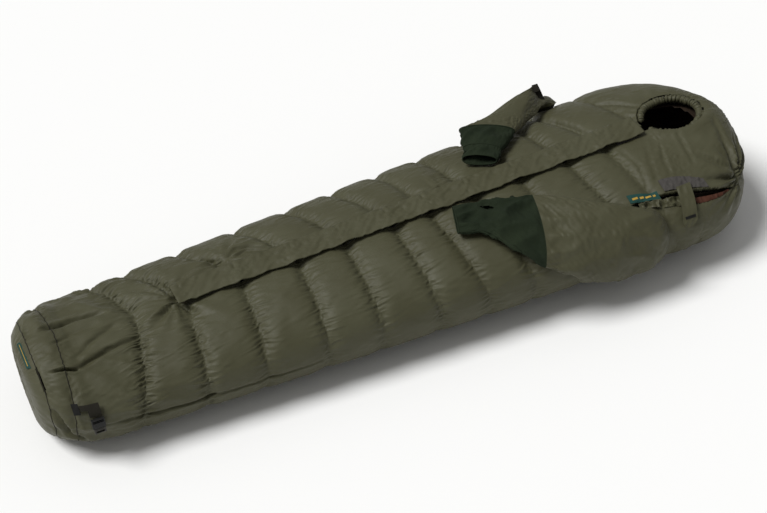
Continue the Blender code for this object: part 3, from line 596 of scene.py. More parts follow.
def soft_folds(points, direction, seed, wave, size):
    """Heights of soft folds that run roughly along a direction, with crisp lines between hollows."""
    rng = np.random.default_rng(seed)
    direction = np.array(direction, float) / np.linalg.norm(direction)
    total = np.zeros(points.shape[:-1])
    for _ in range(7):
        across = np.cross(direction, rng.normal(size=3))
        across = across / np.linalg.norm(across) + direction * rng.normal(0, 0.25)
        total += np.sin(points @ across * 2 * np.pi / (wave * rng.uniform(0.7, 1.7)) + rng.uniform(0, 6.3))
    return size * (0.8 - 1.1 * np.sqrt((total / 2.2) ** 2 + 0.015))


def shell_heights(stations, turn, base, run):
    """All the small forms on the filled fabric: gathers at its seams, folds and creases."""
    height = np.zeros(stations.shape)
    along = np.broadcast_to(run, stations.shape)
    top_weight = np.clip((165 - np.abs(turn)) / 30, 0.15, 1)
    for number in range(FIRST_BAFFLE_SEAM, len(SEAMS) - 1):
        # The hood's seams are drawn in less than the body's.
        smooth = number > HOOD_SEAM
        strength = 0.3 if smooth else 1.0
        off = stations - seam_x(number, turn)
        for side in (-1, 1):
            seed = 100 + 2 * number + side
            add_gathers(height, side * off, along, top_weight, seed, *SEAM_GATHERS, strength)
        add_gathers(height, np.abs(off), along, top_weight, 60 + number, *FINE_GATHERS, strength)
        if not smooth:
            add_gathers(height, np.abs(off), along, top_weight, 80 + number, *LONG_GATHERS)
    size = np.sqrt(in_face(base[..., 0], base[..., 1]))
    bearing = np.arctan2(base[..., 1] - FACE_Y, base[..., 0] - FACE_X)
    upper = np.where(np.abs(turn) < 75, 1.0, 0.0)
    # The gathers are strong on the far and head sides, weak on the puffy near side.
    drawn = upper * np.clip(0.45 + 0.65 * np.sin(bearing), 0.06, 1)
    off_edge = (size - 1) * FACE_MEAN_RADIUS
    for gathers in FACE_GATHERS:
        add_gathers(height, off_edge, bearing * FACE_MEAN_RADIUS, drawn, *gathers)
    # The near side of the face opening stands up in a soft lip.
    lip = np.exp(-((off_edge - 0.012) / 0.026) ** 2) * np.clip(-np.sin(bearing) + 0.2, 0, 1)
    height += 0.009 * upper * lip
    for star in STARS:
        height += star_folds(stations, turn, *star)
    for start, start_fade, end, end_fade, direction, seed, wave, size in SOFT_FOLDS:
        rising = np.clip((stations - start) / start_fade, 0, 1)
        falling = np.clip((end - stations) / end_fade, 0, 1)
        height += falling * rising * soft_folds(base, direction, seed, wave, size)
    return height + crease_heights(stations, turn)


def walled(name, outer, inner, normals, faces, material):
    """A filled piece: its outer faces, the same faces on the inner side, and the rims between."""
    outer, inner, normals = (grid.reshape(-1, 3) for grid in (outer, inner, normals))
    faces = faces.reshape(-1, 4)
    total = len(outer)
    heads = faces.reshape(-1)
    tails = np.roll(faces, -1, 1).reshape(-1)
    forward = heads * total + tails
    open_edge = ~np.isin(forward, tails * total + heads)
    a, b = heads[open_edge], tails[open_edge]
    rims = np.stack([b, a, a + total, b + total], -1)
    every = np.concatenate([faces, faces[:, ::-1] + total, rims])
    shading = np.concatenate([normals, np.zeros_like(normals)])
    corner_normals = shading[every]
    corner_normals[len(faces):] = 0
    points = np.concatenate([outer, inner])
    used, local = np.unique(every, return_inverse=True)
    local = local.reshape(every.shape)
    mesh = bpy.data.meshes.new(name)
    mesh.vertices.add(len(used))
    mesh.vertices.foreach_set("co", points[used].astype(np.float32).ravel())
    mesh.loops.add(local.size)
    mesh.loops.foreach_set("vertex_index", local.astype(np.int32).ravel())
    mesh.polygons.add(len(local))
    mesh.polygons.foreach_set("loop_start", np.arange(0, local.size, 4, dtype=np.int32))
    mesh.update(calc_edges=True)
    mesh.shade_smooth()
    mesh.normals_split_custom_set(corner_normals.reshape(-1, 3).tolist())
    return scene_object(name, mesh, material)


def padded_rows(grid, added):
    """The grid's first and last rows repeated for the rows that close the ends."""
    return np.concatenate([*[grid[:1]] * added, grid, *[grid[-1:]] * added])


def shell_pieces(points, outline, added, stations, angles, covers, material):
    """The outer fabric cut into its sewn pieces, without its openings, each with a filled wall."""
    stations, angles = padded_rows(stations, added), padded_rows(angles, added)
    closing = finer(np.concatenate([angles, angles[:, :1] + 360], 1), 0)
    quarters = [closing[:, :-1] * (1 - k / 4) + closing[:, 1:] * (k / 4) for k in range(4)]
    fine_angles = np.stack(quarters, -1).reshape(closing.shape[0], -1)
    turn = signed_turn(fine_angles)
    fine_stations, outer, base = (
        finer(finer(finer(grid, 0), 1, around=True), 1, around=True) for grid in (stations, points, outline)
    )
    waist = outer.shape[0] // 2
    steps = np.linalg.norm(np.diff(base[waist], axis=0), axis=1)
    run = np.concatenate([[0], np.cumsum(steps)])
    run = np.where(turn[waist] < 0, run - run[-1] - steps[0], run)
    heights = shell_heights(fine_stations, turn, base, run)
    beside_slot = np.clip((np.abs(base[..., 1]) - SLOT_HALF) / 0.01, 0, 1)
    heights *= beside_slot + (fine_stations < ZIP_FOOT_X - 0.01)
    outer = outer + grid_normals(outer, around=True) * np.clip(heights, -0.014, 0.009)[..., None]
    # The top of the foot end is blunt, held up by its filling.
    blunt = np.clip((-0.965 - fine_stations) / 0.06, 0, 1) * np.clip((fine_stations + 1.114) / 0.03, 0, 1)
    outer[..., 2] += 0.018 * blunt * np.clip((75 - np.abs(turn)) / 40, 0, 1)
    outer = cleared(outer, base, covers)
    outer[..., 2] = np.maximum(outer[..., 2], 0.0006)
    inner = base - grid_normals(base, around=True) * (WALL - 0.001)
    inner[..., 2] = np.maximum(inner[..., 2], WALL - 0.001)
    normals = grid_normals(outer, around=True)
    rows, columns = outer.shape[:2]
    hole = (in_face(fine_stations, base[..., 1]) < 1) & (np.abs(turn) < 60)
    hole |= in_arm(fine_stations, fine_angles) < 1
    hole |= in_slit(fine_stations, turn) < 1
    hole |= in_toe(fine_stations, fine_angles) < 1
    # The face opening's edge is eased onto its oval.
    size = np.sqrt(in_face(outer[..., 0], outer[..., 1]))
    easing = hole & (size > 0.9) & (size < 1) & (np.abs(turn) < 60)
    outer[easing, 0] = FACE_X + (outer[easing, 0] - FACE_X) / size[easing]
    outer[easing, 1] = FACE_Y + (outer[easing, 1] - FACE_Y) / size[easing]
    faces = grid_faces(rows, columns, around=True)
    kept = hole.reshape(-1)[faces].sum(-1) < 3
    row = np.arange(rows - 1)[:, None]
    column = np.arange(columns)[None, :]
    cell_x = fine_stations[:-1, :]
    in_slot = (column < 8) | (column >= columns - 8)
    kept &= ~(in_slot & (cell_x > ZIP_FOOT_X - 0.012) & (cell_x < FACE_X))

    def seam_row(number):
        return 2 * (row_fractions().index((number, 0.0)) + added)

    toe, box, head = (seam_row(number) for number in (FOOT_END_SEAM, FOOT_BOX_SEAM, HOOD_SEAM))
    side = int(np.argmin(np.abs(angles[angles.shape[0] // 2] - SIDE_SEAM))) * 4
    everywhere = column >= 0
    trunk = (row >= box) & (row < head)
    regions = {
        "toe_panel": (row < toe) & everywhere,
        "foot_box": (row >= toe) & (row < box) & everywhere,
        "hood": (row >= head) & everywhere,
        "quilt_left": trunk & (column < side),
        "quilt_right": trunk & (column >= columns - side),
        "quilt_back": trunk & (column >= side) & (column < columns - side),
    }
    # The foot box seam and the toe seam are drawn as dark rolls: the seams are sewn, but their dark colour
    # is painted shade of the seam grooves.
    seams = {"foot_seam_shade": outer[box], "toe_seam_shade": outer[toe]}
    return seams, {
        name: walled(name, outer, inner, normals, faces[kept & region], material)
        for name, region in regions.items()
    }


# ---------------------------------------------------------------- materials

def new_material(name, colour, roughness, metallic=0.0):
    material = bpy.data.materials.new(name)
    material.use_nodes = True
    shader = material.node_tree.nodes["Principled BSDF"]
    shader.inputs["Base Color"].default_value = (*colour, 1)
    shader.inputs["Roughness"].default_value = roughness
    shader.inputs["Metallic"].default_value = metallic
    return material, material.node_tree.nodes, material.node_tree.links, shader


def noise_node(nodes, links, place, scale, detail=3.0, roughness=0.5, distortion=0.0):
    noise = nodes.new("ShaderNodeTexNoise")
    noise.inputs["Scale"].default_value = scale
    noise.inputs["Detail"].default_value = detail
    noise.inputs["Roughness"].default_value = roughness
    noise.inputs["Distortion"].default_value = distortion
    links.new(place, noise.inputs["Vector"])
    return noise.outputs["Fac"]


def wave_node(nodes, links, place, scale, direction, distortion=0.4):
    wave = nodes.new("ShaderNodeTexWave")
    wave.wave_type = "BANDS"
    wave.bands_direction = direction
    wave.inputs["Scale"].default_value = scale
    wave.inputs["Distortion"].default_value = distortion
    wave.inputs["Detail"].default_value = 1.0
    links.new(place, wave.inputs["Vector"])
    return wave.outputs["Fac"]


def ramp_node(nodes, links, value, stops):
    ramp = nodes.new("ShaderNodeValToRGB")
    elements = ramp.color_ramp.elements
    while len(elements) < len(stops):
        elements.new(0.5)
    for element, (position, colour) in zip(elements, stops):
        element.position = position
        element.color = (*colour, 1)
    links.new(value, ramp.inputs["Fac"])
    return ramp.outputs["Color"]


def bump_node(nodes, links, height, distance, strength, before=None):
    bump = nodes.new("ShaderNodeBump")
    bump.inputs["Distance"].default_value = distance
    bump.inputs["Strength"].default_value = strength
    links.new(height, bump.inputs["Height"])
    if before:
        links.new(before, bump.inputs["Normal"])
    return bump.outputs["Normal"]


def cloth_material(name, dark, light, roughness, weave_scale, crease=0.0, sheen=0.05, weave_depth=0.0002,
                   direction="DIAGONAL", gloss=0.15):
    """Woven cloth: two close tones in soft patches, a fine weave, creases and a little sheen."""
    material, nodes, links, shader = new_material(name, light, roughness)
    shader.inputs["Specular IOR Level"].default_value = gloss
    place = nodes.new("ShaderNodeTexCoord").outputs["Object"]
    patches = noise_node(nodes, links, place, 7.0, 4.0, 0.6)
    colour = ramp_node(nodes, links, patches, ((0.3, dark), (0.7, light)))
    links.new(colour, shader.inputs["Base Color"])
    worn = noise_node(nodes, links, place, 55.0, 4.0, 0.6)
    low, high = roughness - 0.07, roughness + 0.07
    rough = ramp_node(nodes, links, worn, ((0.3, (low,) * 3), (0.7, (high,) * 3)))
    links.new(rough, shader.inputs["Roughness"])
    normal = None
    if crease:
        folds = noise_node(nodes, links, place, 42.0, 5.0, 0.62, 0.6)
        normal = bump_node(nodes, links, folds, 0.004, crease)
    weave = wave_node(nodes, links, place, weave_scale, direction)
    normal = bump_node(nodes, links, weave, weave_depth, 0.3, normal)
    links.new(normal, shader.inputs["Normal"])
    if sheen:
        shader.inputs["Sheen Weight"].default_value = sheen
        shader.inputs["Sheen Roughness"].default_value = 0.4
    return material


def fuzzy_material(name, dark, light):
    """Hook and loop tape: a dense mat of fine fibres."""
    material, nodes, links, shader = new_material(name, light, 0.9)
    shader.inputs["Specular IOR Level"].default_value = 0.1
    place = nodes.new("ShaderNodeTexCoord").outputs["Object"]
    fibres = noise_node(nodes, links, place, 900.0, 5.0, 0.7)
    links.new(ramp_node(nodes, links, fibres, ((0.35, dark), (0.65, light))), shader.inputs["Base Color"])
    links.new(bump_node(nodes, links, fibres, 0.0012, 0.8), shader.inputs["Normal"])
    return material


def moulded_material(name, dark, light, roughness, metallic=0.0):
    """Moulded plastic or plated metal: a faint grain and scuffed patches."""
    material, nodes, links, shader = new_material(name, light, roughness, metallic)
    shader.inputs["Specular IOR Level"].default_value = 0.25
    place = nodes.new("ShaderNodeTexCoord").outputs["Object"]
    scuffs = noise_node(nodes, links, place, 90.0, 4.0, 0.65)
    links.new(ramp_node(nodes, links, scuffs, ((0.35, dark), (0.7, light))), shader.inputs["Base Color"])
    low, high = roughness - 0.1, roughness + 0.12
    rough = ramp_node(nodes, links, scuffs, ((0.3, (low,) * 3), (0.75, (high,) * 3)))
    links.new(rough, shader.inputs["Roughness"])
    grain = noise_node(nodes, links, place, 1400.0, 2.0)
    links.new(bump_node(nodes, links, grain, 0.0002, 0.35), shader.inputs["Normal"])
    return material


# ---------------------------------------------------------------- sleeves and cuffs

# Cross-sections: two ends as (x, angle, lift), then half the thickness along x and outward.
LEFT_ROWS = (
    ((0.675, 51.0, 0.003), (0.675, 101.0, 0.003), 0.043, 0.0),
    ((0.665, 49.0, 0.018), (0.665, 103.0, 0.018), 0.036, 0.014),
    ((0.642, 46.0, 0.022), (0.648, 105.0, 0.022), 0.020, 0.018),
    ((0.600, 41.0, 0.023), (0.615, 106.0, 0.023), 0.004, 0.018),
    ((0.540, 34.0, 0.024), (0.530, 104.0, 0.024), 0.0, 0.018),
    ((0.460, 25.0, 0.023), (0.420, 92.0, 0.023), 0.0, 0.017),
    ((0.388, 18.0, 0.022), (0.324, 69.0, 0.022), 0.0, 0.016),
)
LEFT_CUFF_ROWS = (
    ((0.388, 18.0, 0.021), (0.324, 69.0, 0.021), 0.0, 0.0150),
    ((0.330, 14.5, 0.020), (0.268, 50.0, 0.020), 0.0, 0.0150),
    ((0.234, 10.5, 0.019), (0.196, 29.0, 0.019), 0.0, 0.0150),
)
LEFT_BAND_ROWS = (
    ((0.234, 10.5, 0.018), (0.196, 29.0, 0.018), 0.0, 0.0140),
    ((0.170, 8.0, 0.018), (0.140, 25.0, 0.018), 0.0, 0.0140),
)
RIGHT_ROWS = (
    ((0.675, 51.0, 0.003), (0.675, 101.0, 0.003), 0.043, 0.0),
    ((0.661, 48.0, 0.019), (0.668, 100.0, 0.018), 0.034, 0.015),
    ((0.634, 42.5, 0.018), (0.663, 84.7, 0.032), 0.0175, 0.014),
    ((0.596, 35.7, 0.012), (0.638, 46.7, 0.084), 0.004, 0.008),
    ((0.545, 30.3, 0.013), (0.541, 41.6, 0.071), 0.0, 0.016),
    ((0.515, 26.0, 0.017), (0.443, 36.0, 0.056), 0.0, 0.019),
    ((0.486, 22.5, 0.022), (0.335, 32.0, 0.054), 0.0, 0.019),
)
RIGHT_CUFF_ROWS = (
    ((0.486, 22.5, 0.022), (0.335, 32.0, 0.054), 0.0, 0.018),
    ((0.447, 17.0, 0.021), (0.323, 26.5, 0.040), 0.0, 0.018),
    ((0.408, 11.8, 0.021), (0.312, 21.1, 0.030), 0.0, 0.018),
)
RIGHT_BAND_ROWS = (
    ((0.408, 11.8, 0.021), (0.312, 21.1, 0.030), 0.0, 0.017),
    ((0.374, 6.1, 0.020), (0.288, 14.8, 0.022), 0.0, 0.017),
)


def smooth_rows(rows, step):
    """More cross-sections on straight spans between the given ones, then eased."""
    numbers = np.array([[*first, *second, along, out] for first, second, along, out in rows])
    middles = skin((numbers[:, 0] + numbers[:, 3]) / 2, (numbers[:, 1] + numbers[:, 4]) / 2,
                   -(numbers[:, 2] + numbers[:, 5]) / 2)
    spans = np.maximum(np.linalg.norm(np.diff(middles, axis=0), axis=1), 0.02)
    run = np.concatenate([[0], np.cumsum(spans)])
    count = max(4, int(run[-1] / step))
    at = np.linspace(0, run[-1], count)
    out = np.stack([np.interp(at, run, numbers[:, k]) for k in range(8)], -1)
    for _ in range(2):
        out[1:-1] = (out[:-2] + 2 * out[1:-1] + out[2:]) / 4
    return out


def tube_grid(rows, side, step=0.009, columns=64, trim_low=0.0, trim_high=0.0):
    """Points of a flattened tube through the cross-sections, rows first."""
    numbers = smooth_rows(rows, step)
    if trim_low:
        numbers[0] += (numbers[1] - numbers[0]) * trim_low
    if trim_high:
        numbers[-1] += (numbers[-2] - numbers[-1]) * trim_high
    turn = np.linspace(0, 2 * math.pi, columns, endpoint=False)
    first, second = numbers[:, None, 0:3], numbers[:, None, 3:6]
    through = np.stack([numbers[:, 6], np.zeros(len(numbers)), numbers[:, 7]], -1)[:, None]
    spots = (first + second) / 2 + (first - second) / 2 * np.cos(turn)[None, :, None]
    spots = spots + through * signed_power(np.sin(turn), 0.8)[None, :, None]
    grid = skin(spots[..., 0], side * spots[..., 1], -spots[..., 2])
    return grid if side > 0 else grid[:, ::-1]


def facing_out(grid):
    """The tube's points with their columns turned round if its faces would face inward."""
    normal = grid_normals(grid, around=True)
    away = grid - grid.mean(1, keepdims=True)
    return grid if (normal * away).sum() > 0 else grid[:, ::-1]


def creased(grid, seed, slack, pressure, frames, reach):
    """Cloth folds on a tube whose end rings are sewn down."""
    rng = np.random.default_rng(seed)
    pinned = np.zeros(grid.shape[:2], bool)
    pinned[[0, -1]] = True
    start = grid + rng.normal(0, 0.0007, grid.shape) * ~pinned[..., None]
    faces = grid_faces(*grid.shape[:2], around=True).reshape(-1, 4)
    solved = simulate(start, faces, pinned, grid * slack, pressure, frames, 10.0, 0.02)
    normal = grid_normals(grid, around=True)
    moved = solved - grid
    out = (moved * normal).sum(-1)
    kept = np.clip(out, -reach, reach)
    return solved + normal * (kept - out)[..., None]


def double_wall(name, grid, thick, material, around=True):
    """A thin closed piece of cloth: the grid of points and the same, thick further in."""
    normal = grid_normals(grid, around)
    faces = grid_faces(*grid.shape[:2], around)
    return walled(name, grid, grid - normal * thick, normal, faces, material)


def seam_ring(name, ring, normal, width, lift, material):
    """A stitched ridge where two cloth tubes meet: a slim roll that follows their common edge."""
    turns = np.linspace(0, 2 * math.pi, 8, endpoint=False)
    along = np.roll(ring, -1, 0) - np.roll(ring, 1, 0)
    along /= np.linalg.norm(along, axis=1, keepdims=True)
    side = np.cross(along, normal)
    grid = (ring + normal * lift * 0.4)[:, None] + np.cos(turns)[None, :, None] * side[:, None] * width / 2
    grid = grid + np.sin(turns)[None, :, None] * normal[:, None] * lift
    grid = np.concatenate([grid, grid[:1]])
    return mesh_object(name, grid, grid_faces(*grid.shape[:2], around=True).reshape(-1, 4), material)


# ---------------------------------------------------------------- draft flap

def flap_grid():
    """The flap's upper face: sewn along its right edge, free and wavy along its left."""
    x = np.arange(FLAP_FOOT_X, FLAP_HEAD_X + 0.003, 0.0075)
    y = np.linspace(FLAP_LEFT_Y, FLAP_RIGHT_Y - 0.0005, 14)
    stations, across = np.meshgrid(x, y, indexing="ij")
    free = (FLAP_RIGHT_Y - across) / (FLAP_RIGHT_Y - FLAP_LEFT_Y)
    base = skin(stations, angle_at_y(stations, across), 0.0)
    rng = np.random.default_rng(5)
    wave = np.zeros(len(x))
    for length, size in ((0.155, 0.0022), (0.083, 0.0014), (0.041, 0.0008)):
        wave += size * np.sin(2 * math.pi * x / length + rng.uniform(0, 6))
    grid = base.copy()
    grid[..., 1] += wave[:, None] * free ** 2 * 0.8
    lift = 0.0065 + 0.0015 * free + np.abs(wave[:, None]) * free * 0.8
    grid[..., 2] += lift
    tufts = np.array([seam[0] for seam in SEAMS[FIRST_BAFFLE_SEAM:HOOD_SEAM + 2]])
    pinned = np.zeros(grid.shape[:2], bool)
    pinned[:, -1] = True
    pinned[0], pinned[-1] = True, True
    for tuft in tufts:
        row = int(np.argmin(np.abs(x - tuft)))
        pinned[row, -5:] = True
        grid[row, -5:, 2] -= 0.0022
        pinned[row, 0] = True
    start = grid + rng.normal(0, 0.0005, grid.shape) * ~pinned[..., None]
    rest = grid * np.array([1.03, 1.02, 1.0])
    faces = grid_faces(*grid.shape[:2]).reshape(-1, 4)
    solved = simulate(start, faces, pinned, rest, 0.7, 26, 12.0, 0.02)
    height = solved[..., 2] - base[..., 2]
    solved[..., 2] += np.clip(height, 0.0042, 0.013) - height
    grid = solved
    return grid


# ---------------------------------------------------------------- patches, tubes and small hard parts

def strip_grid(rows, count, columns, lift):
    """Points of a patch on the skin, count rows between the given ones, with its outside facing out."""
    ends = np.array([[*low, *high] for low, high in rows], float)
    at = np.linspace(0, len(rows) - 1, count)
    ends = np.stack([np.interp(at, np.arange(len(rows)), ends[:, k]) for k in range(4)], -1)
    across = np.linspace(0, 1, columns)[None, :]
    x = ends[:, 0:1] * (1 - across) + ends[:, 2:3] * across
    angle = ends[:, 1:2] * (1 - across) + ends[:, 3:4] * across
    grid = skin(x, angle, -lift)
    out = skin(x, angle, -lift - 0.01) - grid
    return grid if (grid_normals(grid, False) * out).sum() > 0 else grid[:, ::-1]


def laid_on(grid, cover, lift, reach=0.02):
    """The grid's points moved along their normals until they lie a lift above a surface."""
    normal = grid_normals(grid, False)
    inside = grid.reshape(-1, 3).mean(0) * np.array((0.9, 0.0, 0.0)) + np.array((0.0, 0.0, 0.14))
    if (normal * (grid - inside)).sum() < 0:
        normal = -normal
    start = grid + reach * normal
    drop = np.full(grid.shape[:2], np.nan)
    for index in np.ndindex(drop.shape):
        hit = cover["tree"].ray_cast(Vector(start[index]), Vector(-normal[index]), 2 * reach)
        if hit[0] is not None:
            drop[index] = hit[3] - reach
    drop = np.where(np.isnan(drop), np.nanmean(drop), drop)
    eased = drop.copy()
    for _ in range(4):
        framed = np.pad(eased, 1, mode="edge")
        around = framed[:-2, 1:-1] + framed[2:, 1:-1] + framed[1:-1, :-2] + framed[1:-1, 2:]
        eased = np.minimum((around + 4 * eased) / 8, drop)
    return grid - normal * (eased - lift)[..., None]


def patch_piece(name, rows, count, columns, lift, thick, material, folds=0.0, wave=0.03, seed=1,
                cover=None):
    """A closed patch of cloth whose upper face lies at lift above the skin, or above the given surface."""
    grid = strip_grid(rows, count, columns, lift)
    if cover:
        grid = laid_on(grid, cover, lift)
    if folds:
        ease = np.clip(from_ends(count) / 3.0, 0.25, 1)[:, None]
        heights = soft_folds(grid, (0.2, 0.6, 1.0), seed, wave, folds) * ease
        if cover:
            heights = np.maximum(heights, thick - lift + 0.0002)
        grid = grid + grid_normals(grid, False) * heights[..., None]
    piece = double_wall(name, grid, thick, material, around=False)
    return piece, grid


def rings_around(path, side, up, size, columns):
    """Rings of points around a path, size out from it, with their faces outward."""
    turn = np.linspace(0, 2 * math.pi, columns, endpoint=False)
    grid = path[:, None] + size * (np.cos(turn)[None, :, None] * side[:, None]
                                   + np.sin(turn)[None, :, None] * up[:, None])
    if (grid_normals(grid, True) * (grid - path[:, None])).sum() < 0:
        grid = grid[:, ::-1]
    return grid


def soft_tube(name, path, radius, material, gathers, pitch, seed, columns):
    """A filled tube along a path, drawn in by fine gathers across it, with rounded closed ends."""
    rng = np.random.default_rng(seed)
    path = np.asarray(path, float)
    tangent = np.gradient(path, axis=0)
    tangent /= np.linalg.norm(tangent, axis=1, keepdims=True)
    side = np.cross(tangent, (0.0, 0.0, 1.0))
    side /= np.linalg.norm(side, axis=1, keepdims=True)
    up = np.cross(side, tangent)
    run = np.concatenate([[0], np.cumsum(np.linalg.norm(np.diff(path, axis=0), axis=1))])
    phase = 2 * math.pi * run / pitch + np.cumsum(rng.normal(0, 0.55, len(run)))
    depths = gathers * (1 + 0.8 * np.sin(np.cumsum(rng.normal(0, 0.4, len(run)))))
    ends = np.minimum(run, run[-1] - run) / radius
    swell = np.sqrt(1 - np.clip(1 - ends, 0, 0.995) ** 2)
    turn = np.linspace(0, 2 * math.pi, columns, endpoint=False)
    twist = 0.8 * np.sin(turn + rng.uniform(0, 6))[None]
    pull = 1 - depths[:, None] * (0.5 + 0.5 * np.cos(phase[:, None] + twist))
    size = radius * swell[:, None] * pull
    grid = rings_around(path, side, up, size[..., None], columns)
    count = len(path)
    faces = [list(face) for face in grid_faces(count, columns, around=True).reshape(-1, 4)]
    faces.append(list(range(columns)))
    faces.append(list(range((count - 1) * columns, count * columns))[::-1])
    return mesh_object(name, grid, faces, material)


def closed_ring(name, path, radius, material, columns=8):
    """A slim roll around a closed path, such as a bound edge."""
    path = np.asarray(path, float)
    tangent = np.roll(path, -1, 0) - np.roll(path, 1, 0)
    tangent /= np.linalg.norm(tangent, axis=1, keepdims=True)
    centre = path.mean(0)
    outward = path - centre
    side = np.cross(tangent, outward)
    side /= np.linalg.norm(side, axis=1, keepdims=True)
    up = np.cross(side, tangent)
    grid = rings_around(path, side, up, radius, columns)
    count = len(path)
    index = np.arange(count * columns).reshape(count, columns)
    after, beside = np.roll(index, -1, 0), np.roll(index, -1, 1)
    faces = np.stack([index, beside, np.roll(after, -1, 1), after], -1).reshape(-1, 4)
    return mesh_object(name, grid, faces, material)


def block(shape, size, centre, bevel=0.0, turn=None):
    """Adds a box with rounded edges to a bmesh."""
    place = Matrix.Translation(centre) @ (turn or Matrix.Identity(4))
    place = place @ Matrix.Diagonal((*size, 1.0))
    made = bmesh.ops.create_cube(shape, size=1.0, matrix=place)
    if bevel:
        edges = {edge for vertex in made["verts"] for edge in vertex.link_edges}
        bmesh.ops.bevel(shape, geom=list(edges), offset=bevel, segments=3, profile=0.6, affect="EDGES")


def rod(shape, radius, length, centre, axis="Y", segments=20):
    """Adds a round bar to a bmesh."""
    turn = {"X": Matrix.Rotation(math.radians(90), 4, "Y"), "Y": Matrix.Rotation(math.radians(90), 4, "X"),
            "Z": Matrix.Identity(4)}[axis]
    bmesh.ops.create_cone(shape, cap_ends=True, segments=segments, radius1=radius, radius2=radius,
                          depth=length, matrix=Matrix.Translation(centre) @ turn)


def from_shape(name, shape, material, smooth=True):
    """The piece that a bmesh describes."""
    mesh = bpy.data.meshes.new(name)
    bmesh.ops.recalc_face_normals(shape, faces=shape.faces[:])
    shape.to_mesh(mesh)
    shape.free()
    if smooth:
        mesh.shade_smooth()
        mesh.set_sharp_from_angle(angle=math.radians(50))
    return scene_object(name, mesh, material)


# ---------------------------------------------------------------- face opening, lining, collar and tube

COLLAR_X, ROLL_GAP = 0.748, 0.005


def face_hem(material):
    """The gathered hem around the face, open under the chin where the zip ends."""
    angles = np.radians(np.linspace(198.0, 526.0, 300))
    x = FACE_X + (FACE_HALF_LENGTH - HEM_RADIUS - 0.002) * np.cos(angles)
    y = FACE_Y + (FACE_HALF_WIDTH - HEM_RADIUS - 0.002) * np.sin(angles)
    rng = np.random.default_rng(14)
    path = skin(x, angle_at_y(x, y))
    wander = np.cumsum(rng.normal(0, 1, len(x)))
    near_side = np.clip(-np.sin(angles), 0, 1)
    tucked = np.clip(1 - from_ends(len(x)) / 24.0, 0, 1)
    path[:, 2] -= 0.0135 + 0.0022 * np.sin(wander / 4) + 0.007 * near_side + 0.010 * tucked
    return soft_tube("face_hem", path, HEM_RADIUS + 0.0006, material, 0.20, 0.0125, 15, 24)


def inner_lining(material):
    """The inner fabric, loose inside the filled walls."""
    stations = np.concatenate([np.linspace(-1.072, -0.98, 8), np.linspace(-0.96, 0.74, 80)[:-1],
                               0.755 + 0.36 * np.sin(np.linspace(0.0, 1.36, 36))])
    angles = np.linspace(1.5, 361.5, 120, endpoint=False)
    x, angle = np.meshgrid(stations, angles, indexing="ij")
    grid = skin(x, angle, LINING_DEPTH)
    normal = grid_normals(grid, True)
    folds = np.clip(soft_folds(grid, (0.4, 1.0, 0.3), 17, 0.07, 0.003), -0.003, 0.0)
    grid = grid + normal * folds[..., None]
    turn = signed_turn(angle)
    hole = (in_face(x, grid[..., 1], 0.002) < 1) & (np.abs(turn) < 60)
    hole |= (in_arm(x, angle) < 1) | (in_slit(x, turn) < 1)
    foot, head = grid[0].mean(0), grid[-1].mean(0)
    from_foot, from_head = grid[:1] - foot, grid[-1:] - head
    grid = np.concatenate([foot + from_foot * 0.02, foot + from_foot * 0.5, grid,
                           head + from_head * 0.5, head + from_head * 0.02])
    hole = np.concatenate([hole[:1], hole[:1], hole, hole[-1:], hole[-1:]])
    normal = grid_normals(grid, True)
    faces = grid_faces(*grid.shape[:2], around=True)
    faces = faces[hole.reshape(-1)[faces].sum(-1) < 3]
    return walled("inner_lining", grid, grid - LINING_THICK * normal, normal, faces, material), grid


def draft_collar(material):
    """The filled roll round the neck, inside the lining."""
    path = skin(COLLAR_X, np.linspace(16.0, 344.0, 260), LINING_DEPTH + ROLL_GAP + 0.018)
    return soft_tube("draft_collar", path, 0.0178, material, 0.16, 0.022, 18, 24)


def draft_tube(material):
    """The filled roll behind the zip, inside the lining."""
    x = np.linspace(ZIP_FOOT_X, COLLAR_X - 0.030, 420)
    depth = LINING_DEPTH + ROLL_GAP + 0.016
    path = np.stack([x, np.zeros(len(x)), top_height(x) - depth], -1)
    return soft_tube("draft_tube", path, 0.0158, material, 0.15, 0.026, 19, 20)


# ---------------------------------------------------------------- zip

ZIP_DEPTH, TOOTH_GAP, TOOTH_OUT, TOOTH_HALF_HEIGHT = 0.017, 0.0006, 0.0028, 0.0013
SLIDER_X = 0.782


def zip_height(x):
    """Height of the straight line that the zip lies on."""
    low, high = top_height(ZIP_FOOT_X), top_height(ZIP_HEAD_X)
    return low + (high - low) * (x - ZIP_FOOT_X) / (ZIP_HEAD_X - ZIP_FOOT_X) - ZIP_DEPTH


def zip_tape(name, side, material):
    """A woven tape with a thicker corded edge beside the teeth."""
    x = np.linspace(ZIP_FOOT_X, ZIP_HEAD_X, 240)
    y = np.array([0.0031, 0.0036, 0.0042, 0.006, 0.0088, 0.0115])
    lift = np.array([0.0005, 0.0009, 0.0006, 0.0004, 0.0004, 0.0004])
    z = zip_height(x)[:, None] + lift[None]
    grid = np.stack(np.broadcast_arrays(x[:, None], side * y[None], z), -1)
    if grid_normals(grid, False)[..., 2].sum() < 0:
        grid = grid[:, ::-1]
    return double_wall(name, grid, 0.0008, material, around=False)


